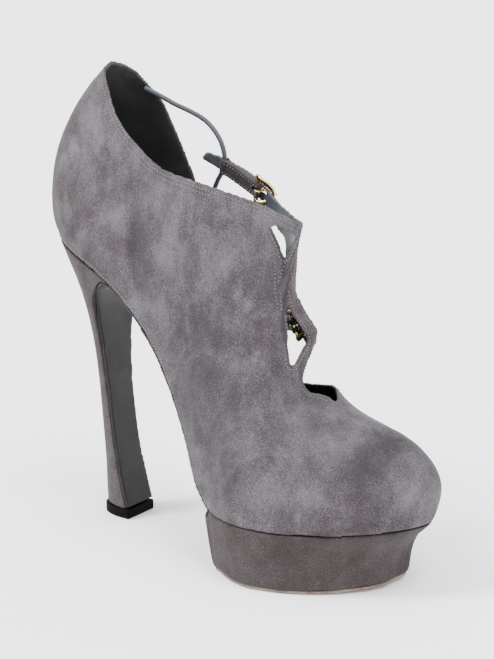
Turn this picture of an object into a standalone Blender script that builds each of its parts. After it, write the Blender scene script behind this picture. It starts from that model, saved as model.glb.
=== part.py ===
"""Double strap heeled shoe: a left shoe with a closed inner side, two folded
straps over the instep, an open outer side with a cord, a covered platform and
a tall flared heel. Toe along +X, outer side along +Y, floor at Z = 0."""

import math

import bmesh
import bpy
import numpy as np
from mathutils import Matrix, Vector

# Main sizes in metres. The tables below hold shares of the first three.
SHOE_LENGTH = 0.220
BALL_WIDTH = 0.087
BACK_HEIGHT = 0.2265
# The whole shoe is centred over the origin by this shift along its length.
CENTRE_SHIFT = 0.00486
CENTRE_SIDE = 0.00485

# Thicknesses and gaps in metres
UPPER_WALL = 0.0016
PIECE_GAP = 0.0003
OUTSOLE_THICK = 0.0016
INSOLE_THICK = 0.0022
COVER_THICK = 0.0014
TOP_LIFT_HEIGHT = 0.0050
CORD_RADIUS = 0.0012
STRAP_WIDTH = 0.0075
BUCKLE_RADIUS = 0.0063
BUCKLE_WIRE = 0.0011
BAR_RADIUS = 0.0007
PRONG_RADIUS = 0.0005

# How finely the sheets are divided
LEVELS_UP_WALL = 9
RING_POINTS = 32
SOLE_POINTS = 22

# Ribs of the upper, from the back of the heel round to the toe: foot is the line at
# the sole, top the line at the collar or the middle; lean, swell and lift bend the rib
# near the foot, bend is the point it
# bends to near the top; cuts is how many ribs stand to the next row.
RIBS = (
    ("foot_l", "inner_foot_w", "outer_foot_w", "foot_h", "lean_l", "swell_w", "lift_h",
     "inner_bend_l", "inner_bend_w", "outer_bend_l", "outer_bend_w", "bend_h", "top_l",
     "inner_top_w", "outer_top_w", "top_h", "cuts"),
    [
        (-0.4982, 0, 0, 0.615, -0.0432, 0, 0.0927, -0.5059, 0.0057, -0.5059, 0.0057, 0.8843,
         -0.3614, 0.0057, 0.0057, 0.9991, 2),
        (-0.4745, -0.1264, 0.1264, 0.615, -0.0409, 0.0575, 0.0927, -0.4882, -0.1149, -0.4882,
         0.146, 0.8706, -0.3564, -0.0805, 0.1149, 0.9854, 2),
        (-0.4273, -0.2126, 0.2126, 0.6026, -0.0273, 0.0517, 0.0927, -0.42, -0.2126, -0.42,
         0.2638, 0.8371, -0.3264, -0.1494, 0.2069, 0.9523, 2),
        (-0.3636, -0.2586, 0.2586, 0.5806, -0.0159, 0.046, 0.0927, -0.3473, -0.2759, -0.3473,
         0.3207, 0.7969, -0.2877, -0.2069, 0.2586, 0.9038, 2),
        (-0.2955, -0.2759, 0.2759, 0.5475, -0.0091, 0.0402, 0.0971, -0.2868, -0.2989, -0.2868,
         0.3391, 0.7638, -0.2495, -0.2414, 0.2874, 0.8711, 2),
        (-0.2273, -0.2828, 0.2874, 0.4967, 0, 0.0345, 0.106, -0.2273, -0.3161, -0.2273, 0.3575,
         0.7342, -0.2027, -0.2701, 0.3161, 0.8419, 2),
        (-0.1636, -0.292, 0.3046, 0.4283, 0.0045, 0.0345, 0.1192, -0.15, -0.3448, -0.1545,
         0.3563, 0.6887, -0.1336, -0.2989, 0.3161, 0.8062, 2),
        (-0.1091, -0.3057, 0.3276, 0.34, 0.0091, 0.0345, 0.1413, -0.0545, -0.3678, -0.0682,
         0.3218, 0.6547, -0.0423, -0.3161, 0.2632, 0.7907, 2),
        (-0.0636, -0.3425, 0.3621, 0.2539, 0.0136, 0.0345, 0.1678, 0.0364, -0.3621, 0.0091,
         0.2529, 0.6203, 0.0391, -0.2931, 0.169, 0.7748, 2),
        (-0.0227, -0.4023, 0.3954, 0.1854, 0.0136, 0.0345, 0.1854, 0.1091, -0.3333, 0.0591,
         0.1379, 0.5881, 0.1014, -0.2299, 0.0747, 0.7554, 2),
        (0.0136, -0.4368, 0.4138, 0.1457, 0.0182, 0.0345, 0.1943, 0.1364, -0.3103, 0.0773, 0.069,
         0.5704, 0.1286, -0.1494, 0.0322, 0.7338, 2),
        (0.0409, -0.4713, 0.4276, 0.1342, 0.0182, 0.0345, 0.1987, 0.1523, -0.2816, 0.0909,
         -0.0115, 0.5528, 0.1495, -0.023, -0.023, 0.7073, 1),
        (0.0591, -0.4977, 0.4345, 0.1338, 0.0227, 0.0345, 0.1898, 0.1568, -0.2736, 0.0977,
         -0.023, 0.5395, 0.1336, -0.023, -0.023, 0.6773, 1),
        (0.0773, -0.5195, 0.4402, 0.1338, 0.0227, 0.0345, 0.1854, 0.1605, -0.2678, 0.1023,
         -0.0287, 0.5263, 0.1355, -0.046, -0.046, 0.6486, 1),
        (0.0909, -0.5322, 0.4437, 0.1338, 0.0227, 0.0345, 0.1766, 0.1636, -0.2644, 0.1068,
         -0.0345, 0.513, 0.14, -0.069, -0.069, 0.6274, 1),
        (0.1091, -0.546, 0.446, 0.1338, 0.0227, 0.0345, 0.1678, 0.1673, -0.2621, 0.1114, -0.0345,
         0.4976, 0.145, -0.0805, -0.0805, 0.6035, 1),
        (0.1273, -0.554, 0.446, 0.1338, 0.0227, 0.0345, 0.1589, 0.1705, -0.2586, 0.1159, -0.0287,
         0.4799, 0.1486, -0.069, -0.069, 0.5766, 1),
        (0.1455, -0.5575, 0.4437, 0.1338, 0.0182, 0.0345, 0.1501, 0.1736, -0.2529, 0.1227,
         -0.0115, 0.46, 0.1555, -0.0414, -0.0414, 0.5461, 2),
        (0.1727, -0.5517, 0.4368, 0.1338, 0.0136, 0.0345, 0.1413, 0.1814, -0.2437, 0.1364,
         0.0287, 0.4269, 0.1823, 0, 0, 0.4962, 2),
        (0.1864, -0.5471, 0.4356, 0.1338, 0.0136, 0.0345, 0.1325, 0.1864, -0.2391, 0.15, 0.0632,
         0.4071, 0.1768, -0.023, -0.023, 0.4693, 1),
        (0.2045, -0.5379, 0.431, 0.1338, 0.0136, 0.0345, 0.128, 0.1923, -0.2368, 0.1636, 0.1034,
         0.3903, 0.1723, -0.023, -0.023, 0.4499, 2),
        (0.2273, -0.5241, 0.423, 0.1342, 0.0091, 0.0345, 0.1192, 0.2059, -0.2391, 0.1818, 0.1437,
         0.3651, 0.2014, -0.0115, -0.0115, 0.4106, 2),
        (0.2568, -0.5, 0.408, 0.1351, 0.0091, 0.0345, 0.1104, 0.2227, -0.2391, 0.2068, 0.1839,
         0.34, 0.2209, 0, 0, 0.3801, 2),
        (0.2841, -0.4713, 0.3851, 0.136, 0.0091, 0.0345, 0.106, 0.2409, -0.2299, 0.2318, 0.2126,
         0.3289, 0.2409, 0.0115, 0.0115, 0.3554, 2),
        (0.3136, -0.4322, 0.3563, 0.1373, 0.0045, 0.0345, 0.1015, 0.2682, -0.2184, 0.2636,
         0.2322, 0.3214, 0.2682, 0.0172, 0.0172, 0.3364, 2),
        (0.35, -0.3747, 0.3103, 0.1391, 0.0045, 0.0345, 0.0927, 0.3045, -0.1954, 0.3045, 0.2483,
         0.3113, 0.3045, 0.023, 0.023, 0.3232, 2),
        (0.3864, -0.2989, 0.2506, 0.1413, 0.0068, 0.0345, 0.0839, 0.3614, -0.1609, 0.3614,
         0.2276, 0.2958, 0.3545, 0.023, 0.023, 0.3143, 2),
        (0.4195, -0.2126, 0.1839, 0.143, 0.0136, 0.0287, 0.0751, 0.4155, -0.1207, 0.4164, 0.1862,
         0.2715, 0.3982, 0.023, 0.023, 0.2976, 2),
        (0.4441, -0.1184, 0.108, 0.1444, 0.0205, 0.0172, 0.0662, 0.4627, -0.0632, 0.4636, 0.1126,
         0.2309, 0.4364, 0.0172, 0.0172, 0.2675, 3),
        (0.4573, 0, 0, 0.1448, 0.0205, 0, 0.0309, 0.4718, 0, 0.4718, 0, 0.1943, 0.4605, 0, 0,
         0.223, 1),
    ],
)
# Outlines cut along the slanted direction, given where they cross the middle plane
WINDOW_TOP = (
    ("x_l", "z_h"),
    [
        (0.0577, 0.6896), (0.0732, 0.6883), (0.0882, 0.6861), (0.1095, 0.6812), (0.125, 0.6764),
        (0.1114, 0.6623), (0.1032, 0.6428), (0.0945, 0.6234), (0.0873, 0.6433), (0.0782, 0.6592),
        (0.0682, 0.6759),
    ],
)
WINDOW_LOW = (
    ("x_l", "z_h"),
    [
        (0.0932, 0.562), (0.1014, 0.5395), (0.1173, 0.5139), (0.1414, 0.4896), (0.1523, 0.4684),
        (0.1441, 0.4578), (0.1327, 0.4397), (0.1123, 0.4057), (0.1082, 0.4216), (0.1041, 0.4486),
        (0.1032, 0.4923), (0.1009, 0.5174), (0.0955, 0.5453),
    ],
)
THROAT_REAR = (
    ("x_l", "z_h"),
    [
        (0.1695, 0.4636), (0.1641, 0.445), (0.1468, 0.4102), (0.1427, 0.3934), (0.1427, 0.3828),
        (0.1445, 0.3801), (0.1718, 0.3828), (0.2018, 0.3872), (0.2223, 0.3894), (0.2345, 0.3885),
        (0.2514, 0.3951), (0.2741, 0.4486), (0.2355, 0.479),
    ],
)
THROAT = (
    ("x_l", "z_h"),
    [
        (0.1427, 0.3916), (0.1427, 0.3828), (0.1468, 0.3757), (0.1518, 0.3695), (0.1605, 0.3647),
        (0.1745, 0.3647), (0.1882, 0.3647), (0.2045, 0.3625), (0.2141, 0.3581), (0.2259, 0.3514),
        (0.2295, 0.3558), (0.2295, 0.3766), (0.225, 0.3872), (0.2059, 0.4062),
    ],
)
# What is open on the outer side, seen straight from that side. It leaves both straps.
OPEN_SIDE = (
    ("x_l", "z_h"),
    [
        (-0.3618, 1.0243), (-0.3609, 0.9943), (-0.3568, 0.989), (-0.3445, 0.9731),
        (-0.3341, 0.955), (-0.3227, 0.9373), (-0.3086, 0.9249), (-0.2959, 0.9038),
        (-0.2836, 0.8671), (-0.2682, 0.8291), (-0.2527, 0.7876), (-0.2395, 0.7581),
        (-0.2305, 0.736), (-0.2136, 0.6932), (-0.1909, 0.6446), (-0.1636, 0.5872),
        (-0.1318, 0.5254), (-0.0955, 0.4636), (-0.0591, 0.415), (-0.0227, 0.3753),
        (0.0182, 0.3466), (0.05, 0.3355), (0.0909, 0.3408), (0.1409, 0.3532), (0.1727, 0.3634),
        (0.2, 0.3709), (0.2182, 0.3797), (0.225, 0.4018), (0.2273, 0.4371), (0.1727, 0.4393),
        (0.1455, 0.4415), (0.1341, 0.4547), (0.1091, 0.4658), (0.0832, 0.4649), (0.0491, 0.4596),
        (0.0182, 0.4525), (-0.0091, 0.4472), (-0.0273, 0.4517), (-0.0364, 0.4658),
        (-0.0295, 0.4812), (-0.0091, 0.4865), (0.0182, 0.4909), (0.0341, 0.4967),
        (0.0432, 0.5121), (0.05, 0.5386), (0.0545, 0.574), (0.0559, 0.6093), (0.0573, 0.6327),
        (0.0591, 0.645), (0.055, 0.6547), (0.0418, 0.6623), (0.0264, 0.6658), (0.0114, 0.6777),
        (-0.0136, 0.7007), (-0.0386, 0.7192), (-0.0741, 0.7355), (-0.1232, 0.7514),
        (-0.1486, 0.7616), (-0.1809, 0.7766), (-0.2091, 0.7863), (-0.2127, 0.7925),
        (-0.1973, 0.8062), (-0.1855, 0.8035), (-0.1518, 0.7974), (-0.1159, 0.7868),
        (-0.0636, 0.7726), (-0.0005, 0.7408), (0.0391, 0.7236), (0.1032, 0.7121),
        (0.1423, 0.7108), (0.1636, 0.7135), (0.2091, 0.7373), (0.2091, 1.0243),
    ],
)
# Front line of the heel under the arch, and half the width of its leather cover
BREAST = (
    ("x_l", "z_h", "half_w"),
    [
        (-0.3205, 0.5377, 0.2586), (-0.3423, 0.5166, 0.2126), (-0.3545, 0.4879, 0.1747),
        (-0.3591, 0.4415, 0.1494), (-0.3573, 0.3974, 0.1299), (-0.3532, 0.3311, 0.1138),
        (-0.3464, 0.2649, 0.108), (-0.3377, 0.1987, 0.108), (-0.3259, 0.1325, 0.1092),
        (-0.3095, 0.0662, 0.1138), (-0.2982, 0.0274, 0.1149),
    ],
)
# Rings of the heel. front_run counts steps up the cover from its lower end.
HEEL = (
    ("front_run", "back_l", "back_h", "half_w", "power"),
    [
        (0.2, -0.3859, 0.0247, 0.1149, 2),
        (2, -0.3868, 0.0618, 0.1138, 2),
        (4.5, -0.3873, 0.1236, 0.1092, 2),
        (7.5, -0.3918, 0.1987, 0.108, 2),
        (10, -0.3973, 0.2649, 0.108, 2),
        (12.5, -0.4036, 0.3311, 0.1138, 2),
        (15, -0.4105, 0.3929, 0.1299, 2),
        (17, -0.4186, 0.4503, 0.154, 2.05),
        (18.8, -0.4309, 0.5077, 0.1897, 2.1),
        (20.2, -0.4495, 0.5563, 0.2253, 2.15),
        (21.6, -0.4723, 0.5894, 0.2552, 2.2),
        (22.8, -0.4964, 0.6119, 0.2713, 2.2),
    ],
)
# How far the platform draws in below its top edge, at the sides, toe and rear
PLATFORM = (
    ("share", "side_w", "toe_w", "rear_w"),
    [
        (0, 0.0345, 0.1839, 0.0632),
        (0.08, 0.0253, 0.177, 0.0529),
        (0.24, 0.0184, 0.1724, 0.0414),
        (0.42, 0.0138, 0.1563, 0.0299),
        (0.57, 0.0103, 0.131, 0.0207),
        (0.72, 0.0069, 0.0874, 0.0126),
        (0.87, 0.0034, 0.0368, 0.0057),
        (1, 0, 0, 0),
    ],
)
# Where the middle of each bar lies, how far inside the strap, and which way it runs
BUCKLES = (
    ("name", "x_l", "z_h", "depth_w", "aim_l", "climb_h"),
    [
        ("top", -0.03, 0.7444, 0.0391, 0.0909, 0.0309),
        ("low", 0.1273, 0.498, 0.0391, 0.0636, -0.0071),
    ],
)
# Middle line of the cord
CORD = (
    ("x_l", "z_h", "depth_w"),
    [
        (-0.3305, 0.9413, 0.0414), (-0.3123, 0.9351, 0.0414), (-0.2991, 0.9307, 0.0414),
        (-0.2895, 0.9188, 0.0414), (-0.2618, 0.9091, 0.0402), (-0.2218, 0.8923, 0.0402),
        (-0.185, 0.8733, 0.0414), (-0.1555, 0.8477, 0.0448), (-0.1386, 0.8216, 0.0494),
        (-0.1332, 0.7934, 0.0517), (-0.1523, 0.7594, 0.0506), (-0.17, 0.7325, 0.046),
        (-0.1877, 0.6949, 0.0425), (-0.2055, 0.6693, 0.0414), (-0.2173, 0.6508, 0.0414),
    ],
)
# Middle line of the inner band of the lower strap
LOW_BAND = (
    ("x_l", "z_h", "half_h", "depth_w", "thick_w"),
    [
        (-0.1091, 0.4203, 0.0159, 0.0241, 0.0138),
        (-0.0818, 0.4336, 0.0172, 0.0241, 0.0138),
        (-0.0455, 0.4486, 0.0172, 0.0241, 0.0161),
        (0, 0.4627, 0.0172, 0.0241, 0.0207),
        (0.0455, 0.4751, 0.0168, 0.0241, 0.023),
        (0.0818, 0.4848, 0.0163, 0.0241, 0.0276),
        (0.1045, 0.4914, 0.0159, 0.0241, 0.0322),
        (0.1182, 0.4954, 0.0159, 0.0236, 0.0345),
        (0.1273, 0.4976, 0.0159, 0.0236, 0.0345),
        (0.1336, 0.4989, 0.0159, 0.0264, 0.0276),
    ],
)

# Rows of the rib table where the top line turns a sharp corner
TOP_CORNERS = (11, 12, 18, 19, 20)
# Rows between which the middle line is a free edge on the outer side
FREE_RIDGE = (20.1, 22.4)
# The outer side bellies this much as strongly as the inner side
OUTER_SIDE_SHARE = 0.9
# Direction in which the windows and the throat are cut, in degrees
SLANT_TURN = 35.8
SLANT_RISE = 14.7

# Sole, cover and buckles, in metres
TOE_SPRING = 0.0030
SPRING_START = 0.048
SPRING_RUN = 0.045
WAIST_START = 0.0066
WAIST_END = -0.0640
COVER_INSET = 0.0008
COVER_CAMBER = 0.0016
PLATFORM_REAR = 0.0070
PLATFORM_REAR_BULGE = 0.0095
OUTSOLE_INSET = 0.0006
INSOLE_INSET = 0.0009
LIFT_LIP = 0.0003
RING_RISE = 0.0047
# Length, width and depth of the openings in which the prongs lie
PRONG_HOLE = (0.0050, 0.0020, 0.0060)
PRONG_SLOT = (0.0060, 0.0021, 0.0060)



def column(table, name):
    """One named column of a table, as an array."""
    names, rows = table
    return np.array([row[names.index(name)] for row in rows])


def metres(table):
    """The table as columns in metres, by the first letter after the last underscore."""
    sizes = {"l": SHOE_LENGTH, "w": BALL_WIDTH, "h": BACK_HEIGHT}
    found = {}
    for name in table[0]:
        unit = name.rsplit("_", 1)[-1]
        found[name] = column(table, name) * sizes.get(unit, 1.0)
    return found


def pchip(at, keys, values):
    """Smooth interpolation that keeps peaks where the table puts them."""
    at = np.atleast_1d(np.asarray(at, float))
    step = np.diff(keys)
    slope = np.diff(values) / step
    tangent = np.zeros(len(keys))
    tangent[0], tangent[-1] = slope[0], slope[-1]
    for i in range(1, len(keys) - 1):
        if slope[i - 1] * slope[i] > 0:
            first = 2 * step[i] + step[i - 1]
            second = step[i] + 2 * step[i - 1]
            tangent[i] = (first + second) / (first / slope[i - 1] + second / slope[i])
    where = np.clip(np.searchsorted(keys, at, side="right") - 1, 0, len(step) - 1)
    h = step[where]
    s = (at - keys[where]) / h
    return (
        (2 * s**3 - 3 * s**2 + 1) * values[where]
        + (s**3 - 2 * s**2 + s) * h * tangent[where]
        + (-2 * s**3 + 3 * s**2) * values[where + 1]
        + (s**3 - s**2) * h * tangent[where + 1]
    )


def sampled(keys, values, at, corners=()):
    """Values of a column at the positions asked for, with sharp corners at some rows."""
    keys = np.asarray(keys, float)
    breaks = [0, *sorted(corners), len(keys) - 1]
    result = np.zeros(len(at))
    for low, high in zip(breaks[:-1], breaks[1:]):
        if high <= low:
            continue
        inside = (at >= keys[low] - 1e-9) & (at <= keys[high] + 1e-9)
        result[inside] = pchip(at[inside], keys[low : high + 1], values[low : high + 1])
    return result


def rib_positions():
    """Where the ribs of the upper stand, in rows of the rib table."""
    spots = []
    cuts = column(RIBS, "cuts")
    for row, count in enumerate(cuts[:-1]):
        count = int(count)
        spots += [row + k / count for k in range(count)]
    return np.array(spots + [len(cuts) - 1.0])


def upper_surface(side, spots, levels):
    """Outer face of one side of the upper. Side -1 is the inner side, +1 the outer."""
    ribs = metres(RIBS)
    keys = np.arange(len(RIBS[1]))
    foot = "inner_foot_w" if side < 0 else "outer_foot_w"
    top = "inner_top_w" if side < 0 else "outer_top_w"

    def smooth(name):
        return sampled(keys, ribs[name], spots)

    def creased(name):
        return sampled(keys, ribs[name], spots, TOP_CORNERS)

    share = np.where(side < 0, 1.0, OUTER_SIDE_SHARE)
    start = np.stack([smooth("foot_l"), smooth(foot), smooth("foot_h")], 1)
    end = np.stack([creased("top_l"), creased(top), creased("top_h")], 1)
    hand = "inner_bend" if side < 0 else "outer_bend"
    swell = side * share * smooth("swell_w")
    first = start + np.stack([smooth("lean_l"), swell, smooth("lift_h")], 1)
    second = np.stack([smooth(hand + "_l"), smooth(hand + "_w"), smooth("bend_h")], 1)
    v = np.asarray(levels)[None, :, None]
    return (
        (1 - v) ** 3 * start[:, None]
        + 3 * (1 - v) ** 2 * v * first[:, None]
        + 3 * (1 - v) * v**2 * second[:, None]
        + v**3 * end[:, None]
    )


def new_object(name, mesh, collection):
    made = bpy.data.objects.new(name, mesh)
    collection.objects.link(made)
    return made


def mesh_from(name, points, faces):
    mesh = bpy.data.meshes.new(name)
    corners = [tuple(map(float, point)) for point in points]
    mesh.from_pydata(corners, [], [tuple(map(int, face)) for face in faces])
    mesh.update()
    return mesh


def tidy(mesh, merge=0.00001):
    """Joins doubled points and turns every face outwards."""
    bm = bmesh.new()
    bm.from_mesh(mesh)
    bmesh.ops.remove_doubles(bm, verts=bm.verts, dist=merge)
    bmesh.ops.dissolve_degenerate(bm, edges=bm.edges, dist=merge / 10)
    bmesh.ops.recalc_face_normals(bm, faces=bm.faces)
    bm.to_mesh(mesh)
    bm.free()
    return mesh


def grid_faces(rows, columns, wrap=False):
    faces = []
    last = columns if wrap else columns - 1
    for i in range(rows - 1):
        for j in range(last):
            k = (j + 1) % columns
            low, high = i * columns, (i + 1) * columns
            faces.append((low + j, low + k, high + k, high + j))
    return faces


def finished(obj, material, angle=32):
    """Gives the object its material and smooth shading with sharp edges kept."""
    obj.data.materials.clear()
    obj.data.materials.append(material)
    if obj.type == "CURVE":
        return obj
    for face in obj.data.polygons:
        face.use_smooth = True
        face.material_index = 0
    obj.data.set_sharp_from_angle(angle=math.radians(angle))
    return obj


def evaluated_mesh(obj):
    """The object's mesh with its modifiers worked in, for another solid to use."""
    bpy.context.view_layer.update()
    graph = bpy.context.evaluated_depsgraph_get()
    mesh = bpy.data.meshes.new_from_object(obj.evaluated_get(graph))
    mesh.transform(obj.matrix_world)
    return mesh


def baked(obj):
    """Works the modifiers of the object into its own mesh."""
    mesh = evaluated_mesh(obj)
    obj.modifiers.clear()
    obj.matrix_world = Matrix.Identity(4)
    obj.data = mesh
    return obj


def cut(obj, cutters, operation="DIFFERENCE"):
    for cutter in cutters:
        step = obj.modifiers.new(operation.title(), "BOOLEAN")
        step.operation = operation
        step.solver = "EXACT"
        step.object = cutter
    return baked(obj)


def cutter_from(name, mesh):
    cutter = new_object(name, mesh, bpy.data.collections["cutters"])
    cutter.hide_render = True
    cutter.display_type = "WIRE"
    return cutter


def lofted(name, rings):
    """A closed solid through rings of equal point counts, with flat ends."""
    rings = np.asarray(rings)
    count = rings.shape[1]
    faces = grid_faces(len(rings), count, wrap=True)
    faces.append(tuple(range(count)))
    faces.append(tuple((len(rings) - 1) * count + k for k in reversed(range(count))))
    return tidy(mesh_from(name, rings.reshape(-1, 3), faces))


def thick_sheet(name, outer, inner):
    """A closed solid between two grids of points."""
    rows, columns = outer.shape[:2]
    count = rows * columns
    faces = grid_faces(rows, columns)
    faces += [tuple(count + k for k in reversed(face)) for face in grid_faces(rows, columns)]
    rim = [j for j in range(columns)]
    rim += [i * columns + columns - 1 for i in range(1, rows)]
    rim += [(rows - 1) * columns + j for j in range(columns - 2, -1, -1)]
    rim += [i * columns for i in range(rows - 2, 0, -1)]
    for here, there in zip(rim, rim[1:] + rim[:1]):
        faces.append((there, here, count + here, count + there))
    points = np.concatenate([outer.reshape(-1, 3), inner.reshape(-1, 3)])
    return tidy(mesh_from(name, points, faces))


def slanted_prism(name, table, near, far):
    """A cutter whose outline is given where it crosses the middle plane, and
    which runs from one side position to another along the slanted direction."""
    shape = metres(table)
    turn, rise = math.radians(SLANT_TURN), math.radians(SLANT_RISE)
    level = math.cos(rise)
    along = np.array([-math.sin(turn) * level, math.cos(turn) * level, -math.sin(rise)])
    along = along / along[1]
    outline = np.stack([shape["x_l"], 0 * shape["x_l"], shape["z_h"]], 1)
    return cutter_from(name, lofted(name, [outline + along * near, outline + along * far]))


def side_prism(name, outline, near, far):
    """A cutter that runs straight across the shoe between two side positions."""
    outline = np.asarray(outline)
    rings = [
        np.stack([outline[:, 0], np.full(len(outline), y), outline[:, 1]], 1) for y in (near, far)
    ]
    return cutter_from(name, lofted(name, rings))


class OuterSide:
    """The outer side of the upper as a surface that can be asked for points."""

    def __init__(self):
        spots = np.linspace(0, len(RIBS[1]) - 1, 260)
        levels = np.linspace(0, 1, 90)
        self.points = upper_surface(1, spots, levels)
        across = np.gradient(self.points, axis=0)
        upwards = np.gradient(self.points, axis=1)
        normal = np.cross(upwards, across)
        normal /= np.linalg.norm(normal, axis=2, keepdims=True) + 1e-12
        flip = np.sign(normal[:, 40:41, 1:2])
        self.normals = normal * np.where(flip == 0, 1, flip)

    def at(self, x, z, depth=0.0):
        """Point at length x and height z, moved inwards from the outer face."""
        flat = self.points.reshape(-1, 3)
        far = (flat[:, 0] - x) ** 2 + (flat[:, 2] - z) ** 2
        near = np.argsort(far)[:6]
        weight = 1 / (far[near] + 1e-9)
        weight /= weight.sum()
        y = float((flat[near, 1] * weight).sum())
        normal = (self.normals.reshape(-1, 3)[near] * weight[:, None]).sum(0)
        normal /= np.linalg.norm(normal)
        return np.array([x, y, z]) - normal * depth, normal


def smooth_path(points, count):
    """A smooth line through the points, evenly spaced."""
    points = np.asarray(points, float)
    length = np.concatenate([[0], np.cumsum(np.linalg.norm(np.diff(points, axis=0), axis=1))])
    fine = np.linspace(0, length[-1], 400)
    line = np.stack([natural_spline(fine, length, points[:, k]) for k in range(3)], 1)
    run = np.concatenate([[0], np.cumsum(np.linalg.norm(np.diff(line, axis=0), axis=1))])
    even = np.linspace(0, run[-1], count)
    return np.stack([np.interp(even, run, line[:, k]) for k in range(3)], 1)


def natural_spline(at, keys, values):
    n = len(keys)
    step = np.diff(keys)
    matrix = np.eye(n)
    right = np.zeros(n)
    for i in range(1, n - 1):
        matrix[i, i - 1] = step[i - 1]
        matrix[i, i] = 2 * (step[i - 1] + step[i])
        matrix[i, i + 1] = step[i]
        ahead = (values[i + 1] - values[i]) / step[i]
        right[i] = 6 * (ahead - (values[i] - values[i - 1]) / step[i - 1])
    bend = np.linalg.solve(matrix, right)
    where = np.clip(np.searchsorted(keys, at, side="right") - 1, 0, n - 2)
    h = step[where]
    a = (keys[where + 1] - at) / h
    b = (at - keys[where]) / h
    return (
        a * values[where]
        + b * values[where + 1]
        + ((a**3 - a) * bend[where] + (b**3 - b) * bend[where + 1]) * h**2 / 6
    )


def wire(name, line, radius, collection):
    """A round wire or cord along a line of points, as a curve with closed ends."""
    curve = bpy.data.curves.new(name, "CURVE")
    curve.dimensions = "3D"
    curve.bevel_depth = radius
    curve.bevel_resolution = 2
    curve.use_fill_caps = True
    spline = curve.splines.new("POLY")
    spline.points.add(len(line) - 1)
    spline.use_smooth = True
    for point, spot in zip(spline.points, line):
        point.co = (*map(float, spot), 1.0)
    return new_object(name, curve, collection)


def wire_cutter(name, line, radius):
    """The same as a hidden mesh, for a Boolean."""
    guide = wire(name, line, radius, bpy.data.collections["cutters"])
    mesh = evaluated_mesh(guide)
    bpy.data.objects.remove(guide, do_unlink=True)
    return cutter_from(name, tidy(mesh))


def foot_ring(inset):
    """The line where upper and sole meet, both sides, moved inwards in plan."""
    spots = rib_positions()
    inner = upper_surface(-1, spots, [0.0])[:, 0]
    outer = upper_surface(1, spots, [0.0])[:, 0]
    ring = np.concatenate([inner, outer[-2:0:-1]])
    ahead = np.roll(ring, -1, axis=0) - np.roll(ring, 1, axis=0)
    normal = np.stack([-ahead[:, 1], ahead[:, 0], 0 * ahead[:, 0]], 1)
    normal /= np.linalg.norm(normal, axis=1, keepdims=True)
    moved = ring + normal * inset
    count = len(inner)
    back = np.concatenate([moved[:1], moved[:count - 1:-1], moved[count - 1 : count]])
    return moved[:count], back


def foot_height(x):
    """Height of the line between upper and sole at a length along the shoe."""
    spots = np.linspace(0, len(RIBS[1]) - 1, 300)
    ring = upper_surface(-1, spots, [0.0])[:, 0]
    return np.interp(x, ring[:, 0], ring[:, 2])


def toe_spring(x):
    return TOE_SPRING * np.clip((np.asarray(x) - SPRING_START) / SPRING_RUN, 0, None) ** 2


def under_path():
    """Under face of the cover, from the ball back over the arch and down the heel."""
    x = np.linspace(WAIST_START, WAIST_END, 12)
    z = foot_height(x) + toe_spring(x)
    slope = np.gradient(z, x)
    tilt = np.sqrt(1 + slope**2)
    z = z - (PIECE_GAP * 1.4 + COVER_THICK) * tilt
    spots = np.linspace(0, len(RIBS[1]) - 1, 300)
    inner = upper_surface(-1, spots, [0.0])[:, 0]
    outer = upper_surface(1, spots, [0.0])[:, 0]
    low = np.interp(x, inner[:, 0], inner[:, 1]) + COVER_INSET
    high = np.interp(x, outer[:, 0], outer[:, 1]) - COVER_INSET
    breast = metres(BREAST)
    path = np.stack([np.concatenate([x, breast["x_l"]]), np.concatenate([z, breast["z_h"]])], 1)
    sides = np.stack(
        [np.concatenate([low, -breast["half_w"]]), np.concatenate([high, breast["half_w"]])], 1
    )
    run = np.concatenate([[0], np.cumsum(np.linalg.norm(np.diff(path, axis=0), axis=1))])
    arch = run[11] * np.linspace(0, 1, 16) ** 1.25
    even = np.concatenate([arch[:-1], np.linspace(run[11], run[-1], 24)])
    path = np.stack([natural_spline(even, run, path[:, k]) for k in range(2)], 1)
    sides = np.stack([pchip(even, run, sides[:, k]) for k in range(2)], 1)
    ahead = np.gradient(path, axis=0)
    ahead /= np.linalg.norm(ahead, axis=1, keepdims=True)
    outward = np.stack([-ahead[:, 1], ahead[:, 0]], 1)
    return path, sides, outward


def cover_mesh(name, grow=0.0):
    """The thin leather cover under the arch and down the heel's front."""
    path, sides, outward = under_path()
    across = np.linspace(0, 1, 7)
    camber = np.sin(math.pi * across)
    waist = np.clip(1 - np.arange(len(path)) / 14, 0, 1) * np.clip(np.arange(len(path)) / 3, 0, 1)
    outer = np.zeros((len(path), len(across), 3))
    inner = np.zeros_like(outer)
    for i, spot in enumerate(path):
        y = sides[i, 0] - grow + (sides[i, 1] - sides[i, 0] + 2 * grow) * across
        bulge = COVER_CAMBER * camber * min(1.0, 1.6 * waist[i])
        for grid, depth in ((outer, bulge + grow), (inner, 0 * bulge - COVER_THICK - grow)):
            grid[i, :, 0] = spot[0] + outward[i, 0] * depth
            grid[i, :, 1] = y
            grid[i, :, 2] = spot[1] + outward[i, 1] * depth
    return thick_sheet(name, outer, inner)


def build_cover(collection):
    return new_object("waist_cover", cover_mesh("waist_cover"), collection)


def heel_ring(front, back, half, power):
    """A flat-fronted ring with a rounded back, between a front and a back point."""
    angles = np.linspace(-math.pi / 2, math.pi / 2, RING_POINTS - 6)
    sideways = half * np.sign(np.sin(angles)) * np.abs(np.sin(angles)) ** (2 / power)
    backward = np.abs(np.cos(angles)) ** (2 / power)
    points = [
        front + (back - front) * b + np.array([0, s, 0]) for b, s in zip(backward, sideways)
    ]
    front_line = np.linspace(half, -half, 8)[1:-1]
    points += [front + np.array([0, y, 0]) for y in front_line]
    return np.array(points)


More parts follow.
